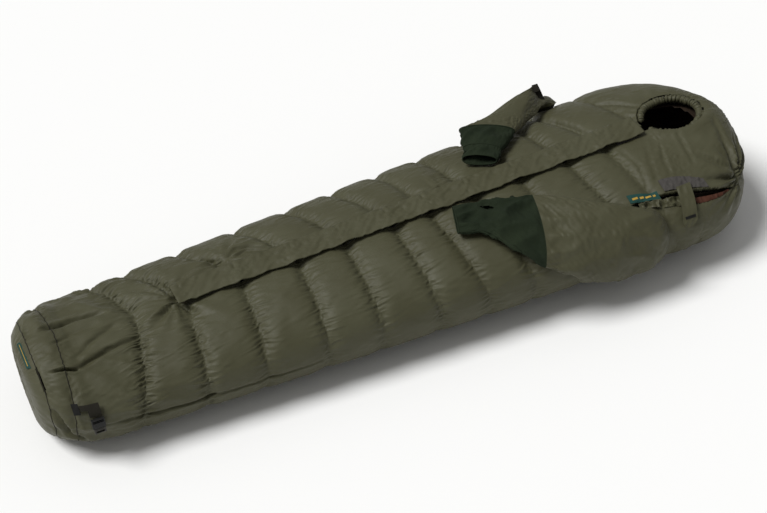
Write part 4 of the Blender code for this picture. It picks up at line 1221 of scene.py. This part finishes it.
def zip_teeth(name, side, material):
    """A row of moulded teeth, each with a rounded nose toward the middle of the zip."""
    x = np.arange(ZIP_FOOT_X + 0.009 + (0.0015 if side > 0 else 0.0), ZIP_HEAD_X - 0.0065, 0.003)
    nose = np.array([[-0.0009, TOOTH_OUT], [-0.0009, 0.0016], [-0.0005, 0.0009], [0.0, TOOTH_GAP + 0.0001],
                     [0.0005, 0.0009], [0.0009, 0.0016], [0.0009, TOOTH_OUT]])
    count = len(nose)
    points, faces = [], []
    for middle in x:
        first = len(points)
        for height in (-TOOTH_HALF_HEIGHT, TOOTH_HALF_HEIGHT):
            points += [(middle + dx, side * dy, zip_height(middle) + height) for dx, dy in nose]
        low, high = list(range(first, first + count)), list(range(first + count, first + 2 * count))
        walls = [[low[i], low[(i + 1) % count], high[(i + 1) % count], high[i]] for i in range(count)]
        group = [low[::-1], high, *walls]
        faces += group if side < 0 else [face[::-1] for face in group]
    return mesh_object(name, points, faces, material, smooth=False)


def zip_slider(material):
    """Two plates around the teeth with raised sides, a post between the rows and a bridge for the pull."""
    shape = bmesh.new()
    z = zip_height(SLIDER_X)
    for sign in (-1, 1):
        block(shape, (0.0136, 0.0116, 0.0011), (SLIDER_X, 0, z + sign * 0.0023), 0.0004)
    block(shape, (0.0030, 0.0007, 0.0044), (SLIDER_X + 0.0040, 0, z))
    for side in (-1, 1):
        block(shape, (0.0046, 0.0012, 0.0034), (SLIDER_X + 0.003, side * 0.0038, z + 0.0041), 0.0004)
    rod(shape, 0.0006, 0.0078, (SLIDER_X + 0.003, 0, z + 0.0047))
    return from_shape("zip_slider", shape, material)


def zip_pull(material):
    """A flat pull with a barrel at the slider and a long slot, lying toward the foot."""
    shape = bmesh.new()
    x, z = SLIDER_X + 0.003, zip_height(SLIDER_X + 0.003) + 0.0047
    rod(shape, 0.0014, 0.0054, (x, 0, z))
    for side in (-1, 1):
        block(shape, (0.0235, 0.0014, 0.0013), (x - 0.0128, side * 0.0019, z - 0.0003), 0.0004)
    block(shape, (0.0045, 0.0052, 0.0013), (x - 0.0257, 0, z - 0.0008), 0.0004)
    block(shape, (0.0030, 0.0052, 0.0013), (x - 0.0020, 0, z - 0.0001), 0.0004)
    return from_shape("zip_pull", shape, material)


def zip_stop(name, low_x, high_x, low_y, high_y, material):
    shape = bmesh.new()
    x, y = (low_x + high_x) / 2, (low_y + high_y) / 2
    size = (high_x - low_x - 0.0002, high_y - low_y - 0.0001, 2 * TOOTH_HALF_HEIGHT - 0.0001)
    block(shape, size, (x, y, zip_height(x)), 0.0005)
    return from_shape(name, shape, material)


# ---------------------------------------------------------------- strap, buckle and labels

BUCKLE_X, BUCKLE_TOP_Z = -0.972, 0.178
BUCKLE_WIDTH, BUCKLE_HEIGHT, BUCKLE_THICK = 0.036, 0.030, 0.011


def buckle_middle():
    """The buckle's y, just clear of the fabric behind it."""
    sides = skin(BUCKLE_X, np.array((62.0, 75.0, 88.0, 100.0)))[:, 1]
    return float(sides.min()) - 0.001 - BUCKLE_THICK / 2


def buckle_socket(material):
    """The buckle's outer half: a hollow frame with side windows, ribs and a bar for the webbing."""
    shape = bmesh.new()
    y, z = buckle_middle(), BUCKLE_TOP_Z - BUCKLE_HEIGHT / 2
    wide, tall, thick = BUCKLE_WIDTH, BUCKLE_HEIGHT, BUCKLE_THICK
    for side in (-1, 1):
        block(shape, (0.0032, thick, tall), (BUCKLE_X + side * (wide / 2 - 0.0016), y, z), 0.0012)
    for side in (-1, 1):
        face_y = y + side * (thick / 2 - 0.0009)
        block(shape, (wide - 0.005, 0.0016, tall - 0.011), (BUCKLE_X, face_y, z - 0.0050), 0.0006)
        for rib in range(3):
            rib_z = z - 0.010 + 0.004 * rib
            block(shape, (wide - 0.014, 0.0007, 0.0012), (BUCKLE_X, face_y + side * 0.0006, rib_z), 0.0003)
    block(shape, (wide - 0.002, thick - 0.001, 0.0030), (BUCKLE_X, y, z + tall / 2 - 0.0016), 0.0012)
    block(shape, (wide - 0.004, thick - 0.003, 0.0022), (BUCKLE_X, y, z + 0.0070), 0.0008)
    return from_shape("buckle_socket", shape, material)


def buckle_plug(material):
    """The buckle's inner half: three prongs, a ribbed grip and a slot for the webbing."""
    shape = bmesh.new()
    y = buckle_middle()
    low = BUCKLE_TOP_Z - BUCKLE_HEIGHT
    wide, thick = BUCKLE_WIDTH - 0.004, BUCKLE_THICK - 0.001
    block(shape, (wide, thick, 0.0090), (BUCKLE_X, y, low - 0.0054), 0.0014)
    for side in (-1, 1):
        x = BUCKLE_X + side * (wide / 2 - 0.0026)
        block(shape, (0.0050, thick, 0.0120), (x, y, low - 0.0146), 0.0014)
    block(shape, (wide - 0.006, thick * 0.7, 0.0030), (BUCKLE_X, y, low - 0.0190), 0.0010)
    for rib in range(3):
        for side in (-1, 1):
            place = (BUCKLE_X, y + side * (thick / 2 - 0.0001), low - 0.0028 - 0.0024 * rib)
            block(shape, (wide - 0.010, 0.0009, 0.0010), place, 0.0003)
    for offset in (-0.0115, 0.0, 0.0115):
        block(shape, (0.0042, thick - 0.0048, 0.0190), (BUCKLE_X + offset, y, low + 0.0078), 0.0010)
    return from_shape("buckle_plug", shape, material)


def sleeve_strap(material):
    """Webbing folded over the right sleeve's peak, hanging down its back, with a stitched block. The dark
    sheet is wider than the webbing, so that it also stands for the shaded inside of the sleeve's fold:
    partly painted shade.
    """
    # Its middle line as station, angle and lift, from the front over the peak to the lower end.
    route = np.array([(0.639, 45.0, 0.062), (0.640, 45.7, 0.076), (0.641, 46.6, 0.084),
                      (0.643, 47.6, 0.078), (0.646, 48.3, 0.062), (0.648, 48.8, 0.044),
                      (0.650, 49.0, 0.026)])
    at = np.linspace(0, len(route) - 1, 40)
    x, angle, lift = (np.interp(at, np.arange(len(route)), route[:, k]) for k in range(3))
    path = skin(x, -angle, -lift)
    for _ in range(6):
        path[1:-1] = (path[:-2] + 2 * path[1:-1] + path[2:]) / 4
    # The sheet is wider than the webbing: its extra width is painted shade of the sleeve's fold.
    offsets = np.linspace(-0.0095, 0.0095, 9)
    grid = path[:, None] + offsets[None, :, None] * np.array((1.0, 0.0, 0.0))
    stitched = (at > len(route) - 2.2) & (np.arange(len(at)) % 2 == 0)
    grid = grid + grid_normals(grid, False) * (0.0006 * stitched)[:, None, None]
    return double_wall("sleeve_strap_right", grid, 0.0030, material, around=False)


def label_marks(name, x_angle_boxes, label, material):
    """Plain woven bars on a label, each given by its corner stations and angles."""
    cover = cover_of([label])
    points, faces = [], []
    for x0, a0, x1, a1 in x_angle_boxes:
        x, angle = np.meshgrid(np.linspace(x0, x1, 5), np.linspace(a0, a1, 3), indexing="ij")
        flat = skin(x, angle)
        for raised in (-0.0002, 0.0008):
            first = len(points)
            points += laid_on(flat, cover, raised).reshape(-1, 3).tolist()
            quads = grid_faces(5, 3).reshape(-1, 4) + first
            faces += (quads if raised > 0 else quads[:, ::-1]).tolist()
        rim = [0, 1, 2, 5, 8, 11, 14, 13, 12, 9, 6, 3]
        low = first - 15
        for one, two in zip(rim, rim[1:] + rim[:1]):
            faces.append([low + one, low + two, first + two, first + one])
    piece = mesh_object(name, points, faces, material, smooth=False)
    shape = bmesh.new()
    shape.from_mesh(piece.data)
    bmesh.ops.recalc_face_normals(shape, faces=shape.faces[:])
    shape.to_mesh(piece.data)
    shape.free()
    return piece


# ---------------------------------------------------------------- studio

FLOOR_HALF, FLOOR_Z, SKY_STRENGTH = 8.0, -0.0005, 0.29
# The lamp: the direction it lies in, its strength and how wide it looks in degrees.
LAMP_TOWARD, LAMP_STRENGTH, LAMP_SPREAD = (-0.70, 0.16, 1.20), 2.75, 28.0


def studio():
    """A plain pale floor and soft light, strongest from above the foot."""
    corners = ((-1, -1), (1, -1), (1, 1), (-1, 1))
    floor_points = [(x * FLOOR_HALF, y * FLOOR_HALF, FLOOR_Z) for x, y in corners]
    paint, _, _, _ = new_material("floor_paint", (0.95, 0.95, 0.94), 0.9)
    floor = mesh_object("floor", floor_points, [(0, 1, 2, 3)], paint, smooth=False)
    world = bpy.data.worlds.new("studio")
    bpy.context.scene.world = world
    world.use_nodes = True
    background = world.node_tree.nodes["Background"]
    background.inputs["Color"].default_value = (1, 1, 1, 1)
    background.inputs["Strength"].default_value = SKY_STRENGTH
    light = bpy.data.lights.new("key", "SUN")
    light.energy = LAMP_STRENGTH
    light.angle = math.radians(LAMP_SPREAD)
    lamp = bpy.data.objects.new("key", light)
    lamp.rotation_euler = (-Vector(LAMP_TOWARD)).to_track_quat("-Z", "Y").to_euler()
    bpy.context.scene.collection.objects.link(lamp)


def camera():
    """A camera at its place around the bag, turned a little about its own view."""
    azimuth, elevation, distance = math.radians(-20.684), math.radians(41.053), 4.9217
    roll = math.radians(-5.178)
    target = Vector((-0.0283, 0, 0.1488))
    back = Vector((math.sin(azimuth) * math.cos(elevation), -math.cos(azimuth) * math.cos(elevation),
                   math.sin(elevation)))
    right = Vector((math.cos(azimuth), math.sin(azimuth), 0))
    up = back.cross(right)
    right, up = right * math.cos(roll) + up * math.sin(roll), up * math.cos(roll) - right * math.sin(roll)
    data = bpy.data.cameras.new("camera")
    data.sensor_width = 36.0
    data.lens = 79.475
    data.clip_end = 50
    view = bpy.data.objects.new("camera", data)
    place = target + back * distance
    view.matrix_world = Matrix(((right.x, up.x, back.x, place.x), (right.y, up.y, back.y, place.y),
                                (right.z, up.z, back.z, place.z), (0, 0, 0, 1)))
    bpy.context.scene.collection.objects.link(view)
    bpy.context.scene.camera = view
    bpy.context.scene.view_settings.view_transform = "Standard"


# ---------------------------------------------------------------- assembly

studio()
camera()
# Each cloth: its dark and light tones, roughness, weave scale, crease, sheen and weave depth.
NYLON = cloth_material("nylon", (0.056, 0.054, 0.026), (0.070, 0.069, 0.037),
                       0.56, 900.0, 0.10, 0.03, gloss=0.30)
LINING = cloth_material("lining", (0.020, 0.013, 0.009), (0.034, 0.024, 0.016), 0.50, 900.0, 0.25, 0.02)
KNIT = cloth_material("knit", (0.010, 0.016, 0.008), (0.018, 0.026, 0.013),
                      0.90, 260.0, 0.06, 0.0, 0.0010, "Y")
WEBBING = cloth_material("webbing", (0.011, 0.010, 0.007), (0.022, 0.020, 0.014),
                         0.75, 420.0, 0.0, 0.05, 0.0008)
ZIP_TAPE = cloth_material("zip_tape", (0.020, 0.021, 0.014), (0.032, 0.033, 0.023),
                          0.8, 520.0, 0.0, 0.05, 0.0006)
RUST = cloth_material("rust_cloth", (0.050, 0.018, 0.010), (0.080, 0.030, 0.018), 0.6, 800.0, 0.3, 0.05)
LABEL = cloth_material("label", (0.012, 0.046, 0.040), (0.020, 0.070, 0.060),
                       0.65, 600.0, 0.0, 0.05, 0.0004)
THREAD = cloth_material("label_thread", (0.36, 0.22, 0.035), (0.52, 0.34, 0.07),
                        0.6, 700.0, 0.0, 0.05, 0.0004)
HOOK = fuzzy_material("hook_loop", (0.045, 0.042, 0.038), (0.095, 0.088, 0.082))
BLACK = moulded_material("plastic", (0.005, 0.005, 0.0045), (0.010, 0.010, 0.009), 0.5)
GREY = moulded_material("grey_plastic", (0.026, 0.024, 0.019), (0.044, 0.041, 0.035), 0.5)
TEETH = moulded_material("zip_teeth", (0.012, 0.013, 0.010), (0.026, 0.027, 0.021), 0.42)
METAL = moulded_material("zip_metal", (0.045, 0.045, 0.042), (0.085, 0.085, 0.078), 0.35, 1.0)


def finish_piece(piece, body, slot, *nodes):
    """Puts a piece on its body, in place of its CAD nodes; slot is not used."""
    if nodes:
        piece.name = nodes[0] + "_finish"
    if body:
        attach(piece, body)
    if nodes:
        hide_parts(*nodes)
    return piece


def folded_tube(grid, direction, seed, wave, size, ease):
    """A finer grid of the tube with soft folds that fade over its first and last rows."""
    grid = finer(finer(grid, 0), 1, True)
    rise = np.clip(from_ends(len(grid)) / ease, 0, 1)[:, None]
    folds = soft_folds(grid, direction, seed, wave, size) * rise
    return grid + grid_normals(grid, True) * folds[..., None]


def build_sleeve(name, side, rows, cuff_rows, band_rows, cuff_trims, band_trim):
    """A sleeve with its knit cuff and band, as three sewn tubes, and the seams between them."""
    body = name + "_sleeve"
    tube = facing_out(tube_grid(rows, side))
    flow = tube[-1].mean(0) - tube[len(tube) // 3].mean(0)
    tube = creased(tube, 21 + side, 1.05 if side > 0 else 1.03, 1.2, 24, 0.008 if side > 0 else 0.004)
    tube = folded_tube(tube, flow, 23 + side, 0.085, 0.0042 if side > 0 else 0.0020, 8.0)
    sleeve = double_wall("sleeve_" + name, tube, NYLON_THICK, NYLON)
    finish_piece(sleeve, None, "nylon", "sleeve_" + name)
    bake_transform(sleeve)
    made = [sleeve]
    for part, part_rows, trims, reach, hole in (
        ("cuff_", cuff_rows, cuff_trims, 0.005, side > 0),
        ("cuff_band_", band_rows, (band_trim, 0.0), 0.003, False),
    ):
        grid = facing_out(tube_grid(part_rows, side, 0.008, 56, *trims))
        grid = creased(grid, len(part) + 31 + side, 1.04, 0.5, 18, reach)
        grid = folded_tube(grid, flow, len(part) + 43 + side, 0.065, 0.0080, 5.0)
        cuff = knit_tube(part + name, grid, hole)
        finish_piece(cuff, body, "knit", part + name)
        ring, normal = grid[0], grid_normals(grid, True)[0]
        seam = seam_ring(part + "seam_" + name, ring, normal, 0.004, 0.0012, KNIT)
        finish_piece(seam, body, "knit")
        made += [cuff, seam]
    mouth = closed_ring("cuff_edge_" + name, grid[-1] - 0.0013 * grid_normals(grid, True)[-1], 0.0021, KNIT)
    finish_piece(mouth, body, "knit")
    return [*made, mouth]


# The thumb hole: its middle as station, angle and depth, and its half sizes in rows and columns.
THUMB_SPOT, THUMB_ROWS, THUMB_COLUMNS = (0.254, 15.5, -0.034), 4.6, 2.9


def knit_tube(name, grid, thumb_hole):
    """A knit tube, with an oval thumb hole through its upper layer near the band if it has one."""
    normal = grid_normals(grid, True)
    faces = grid_faces(*grid.shape[:2], around=True)
    if thumb_hole:
        count, around = grid.shape[:2]
        away = np.linalg.norm(grid - skin(*THUMB_SPOT), axis=-1)
        row, column = np.unravel_index(np.argmin(away), away.shape)
        rows = np.arange(count - 1)[:, None] + 0.5 - row
        columns = (np.arange(around)[None, :] + 0.5 - column + around / 2) % around - around / 2
        open_faces = (rows / THUMB_ROWS) ** 2 + (columns / THUMB_COLUMNS) ** 2 < 1
        faces = faces[~open_faces]
    return walled(name, grid, grid - KNIT_THICK * normal, normal, faces, KNIT)


left = build_sleeve("left", 1, LEFT_ROWS, LEFT_CUFF_ROWS, LEFT_BAND_ROWS, (0.02, 0.01), 0.02)
right = build_sleeve("right", -1, RIGHT_ROWS, RIGHT_CUFF_ROWS, RIGHT_BAND_ROWS, (0.03, 0.02), 0.04)

flap_surface = flap_grid()
flap_surface = finer(finer(flap_surface, 0), 1)
flap_folds = soft_folds(flap_surface, (1.0, 0.8, 0.0), 61, 0.050, 0.0022)
flap_surface[..., 2] += np.clip(flap_folds, -0.0018, 0.0018)
flap = double_wall("draft_flap", flap_surface, FLAP_THICK, NYLON, around=False)
finish_piece(flap, "flap", "nylon", "draft_flap")

points, outline, added, stations, angles = billowed_shell()
points = held_down(points, outline, 0.007, 0.005)
covers = [cover_of(left), cover_of(right), cover_of([flap])]
seam_shade_lines, shell = shell_pieces(points, outline, added, stations, angles, covers, NYLON)
# Dark rolls along the foot box and toe seams: real stitched seams, darkened as painted shade of their
# grooves.
for name, ring in seam_shade_lines.items():
    finish_piece(closed_ring(name, ring[::2], 0.0013, WEBBING, 6), "bag", "webbing")
for name, piece in shell.items():
    finish_piece(piece, "bag", "nylon", name)

finish_piece(face_hem(NYLON), "bag", "nylon", "face_hem")
lining, lining_grid = inner_lining(LINING)
finish_piece(lining, "bag", "lining", "inner_lining")
finish_piece(draft_collar(LINING), "bag", "lining", "draft_collar")
finish_piece(draft_tube(LINING), "bag", "lining", "draft_tube")

for name, side in (("left", -1), ("right", 1)):
    finish_piece(zip_tape("zip_tape_" + name, side, ZIP_TAPE), "bag", "zip_tape", "zip_tape_" + name)
    finish_piece(zip_teeth("zip_teeth_" + name, side, TEETH), "bag", "zip_teeth", "zip_teeth_" + name)
    low_y, high_y = sorted((side * TOOTH_GAP, side * TOOTH_OUT))
    stop = zip_stop("zip_stop_head_" + name, ZIP_HEAD_X - 0.005, ZIP_HEAD_X - 0.001, low_y, high_y, METAL)
    finish_piece(stop, "bag", "zip_metal", "zip_stop_head_" + name)
stop = zip_stop("zip_stop_foot", ZIP_FOOT_X + 0.001, ZIP_FOOT_X + 0.007, -TOOTH_OUT, TOOTH_OUT, METAL)
finish_piece(stop, "bag", "zip_metal", "zip_stop_foot")
finish_piece(zip_slider(METAL), "slider", "zip_metal", "zip_slider")
finish_piece(zip_pull(METAL), "pull", "zip_metal", "zip_pull")


def slit_rows(low, high, start, end):
    """Rows across the slit, between two parts of its length; low and high are in its half widths."""
    rows = []
    for t in np.linspace(start, end, 9):
        x, angle = slit_middle(t)
        rows.append(((x, angle + low * slit_half(t)), (x, angle + high * slit_half(t))))
    return rows


def flap_tape_rows():
    """Rows across the flap's head end, from its free edge to beside the zip."""
    edges = (FLAP_LEFT_Y + 0.002, -SLOT_HALF - 0.004)
    stations = np.linspace(ZIP_HEAD_X - 0.075, ZIP_HEAD_X - 0.010, 3)
    return [[(x, float(angle_at_y(x, y))) for y in edges] for x in stations]


def cloth_patch(name, body, slot, rows, count, columns, lift, thick, material, held, on,
                *folding, cover=None):
    """A patch of cloth on its body, in place of its CAD node."""
    piece, grid = patch_piece(name, rows, count, columns, lift, thick, material, *folding, cover=cover)
    finish_piece(piece, body, slot, name)
    return piece


head_cover = cover_of([shell["hood"]])
cloth_patch("flap_hook_tape", "flap", "hook_loop", flap_tape_rows(), 14, 6, 0.0026, 0.0011, HOOK,
            "laid", "draft_flap")
cloth_patch("flap_loop_tape", "bag", "hook_loop", flap_tape_rows(), 14, 6, 0.0012, 0.0009, HOOK,
            "laid", "hood", cover=head_cover)
cloth_patch("slit_hook_tape", "bag", "hook_loop", slit_rows(-2.6, -1.25, 0.34, 0.72), 48, 14,
            0.0042, 0.0020, HOOK, "laid", "hood", 0.0026, 0.024, 71, cover=head_cover)
cloth_patch("slit_facing", "bag", "rust_cloth", slit_rows(0.10, 0.92, 0.58, 0.94), 48, 14,
            -0.0105, 0.0020, RUST, "hung", "hood", 0.0022, 0.03, 72)
cloth_patch("slit_draft_flap", "bag", "nylon", slit_rows(-0.30, 0.90, 0.08, 0.50), 60, 24,
            -0.0060, 0.0035, NYLON, "gathered", "hood", 0.0060, 0.028, 73)


def tab_rows():
    """The closing tab, from its sewn end above the slit down to its narrowed free end."""
    rows = []
    for t in np.linspace(0.0, 1.0, 25):
        narrowing = np.clip((t - 0.82) / 0.18, 0, 1)
        half = 0.022 - 0.016 * narrowing ** 1.6
        x, angle = 0.808 - 0.026 * t, 43.0 + 35.0 * t
        rows.append(((x - half, angle), (x + half, angle)))
    return rows


cloth_patch("closing_tab", "tab", "nylon", tab_rows(), 60, 14, 0.0083, 0.0026, NYLON, "laid", "hood",
            0.0012, 0.03, 74)
tab_slot_rows = [((x, 67.4), (x, 69.8)) for x in np.linspace(0.7735, 0.8050, 6)]
slot, _ = patch_piece("tab_slot", tab_slot_rows, 12, 4, 0.0094, 0.0007, BLACK)
finish_piece(slot, "tab", "plastic")

chest_rows = [((x, a - 8.4), (x, a - 1.9)) for x, a in ((0.645, 45.5), (0.690, 47.0), (0.735, 48.6))]
chest = cloth_patch("label_chest", "bag", "label", chest_rows, 30, 12, 0.0022, 0.0017, LABEL,
                    "laid", "hood", 0.0004, 0.05, 75, cover=head_cover)
marks = []
for start, end in ((0.655, 0.672), (0.678, 0.690), (0.695, 0.712), (0.717, 0.725)):
    # The bars follow the label's slant, a little below its upper edge.
    middle = 45.5 + (start + end - 1.29) / 2 * 34.4 - 4.8
    marks.append((start, middle - 0.8, end, middle + 0.8))
finish_piece(label_marks("label_chest_bars", marks, chest, THREAD), "bag", "label")

toe_rows = [((FOOT_END_X - 0.014, a), (FOOT_END_X - 0.003, a)) for a in np.linspace(-6.0, 20.0, 9)]
toe = cloth_patch("label_toe", "bag", "label", toe_rows, 30, 8, 0.0024, 0.0017, LABEL, "laid", "toe_panel")
toe_mark = [(FOOT_END_X - 0.0108, -4.0, FOOT_END_X - 0.0092, 18.0)]
finish_piece(label_marks("label_toe_bar", toe_mark, toe, THREAD), "bag", "label")

anchor_rows = [((-1.024, a), (-1.008, a)) for a in np.linspace(58.0, 70.0, 6)]
anchor, _ = patch_piece("strap_anchor", anchor_rows, 16, 8, 0.0045, 0.0034, BLACK)
finish_piece(anchor, "bag", "plastic", "strap_anchor")
# The strap runs back from its anchor, then turns down through the buckle's bar.
strap_edge = ((-1.0065, 66.5), (-0.9890, 66.5), (-0.9885, 74.5), (-0.9560, 74.5))
strap_rows = [((x, 60.5), (x, low)) for x, low in strap_edge]
strap, _ = patch_piece("foot_strap", strap_rows, 31, 14, 0.0034, 0.0020, WEBBING)
finish_piece(strap, "bag", "webbing", "foot_strap")
finish_piece(buckle_socket(BLACK), "bag", "plastic", "buckle_socket")
finish_piece(buckle_plug(GREY), "plug", "grey_plastic", "buckle_plug")
strap = finish_piece(sleeve_strap(WEBBING), None, "webbing", "sleeve_strap_right")
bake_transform(strap)
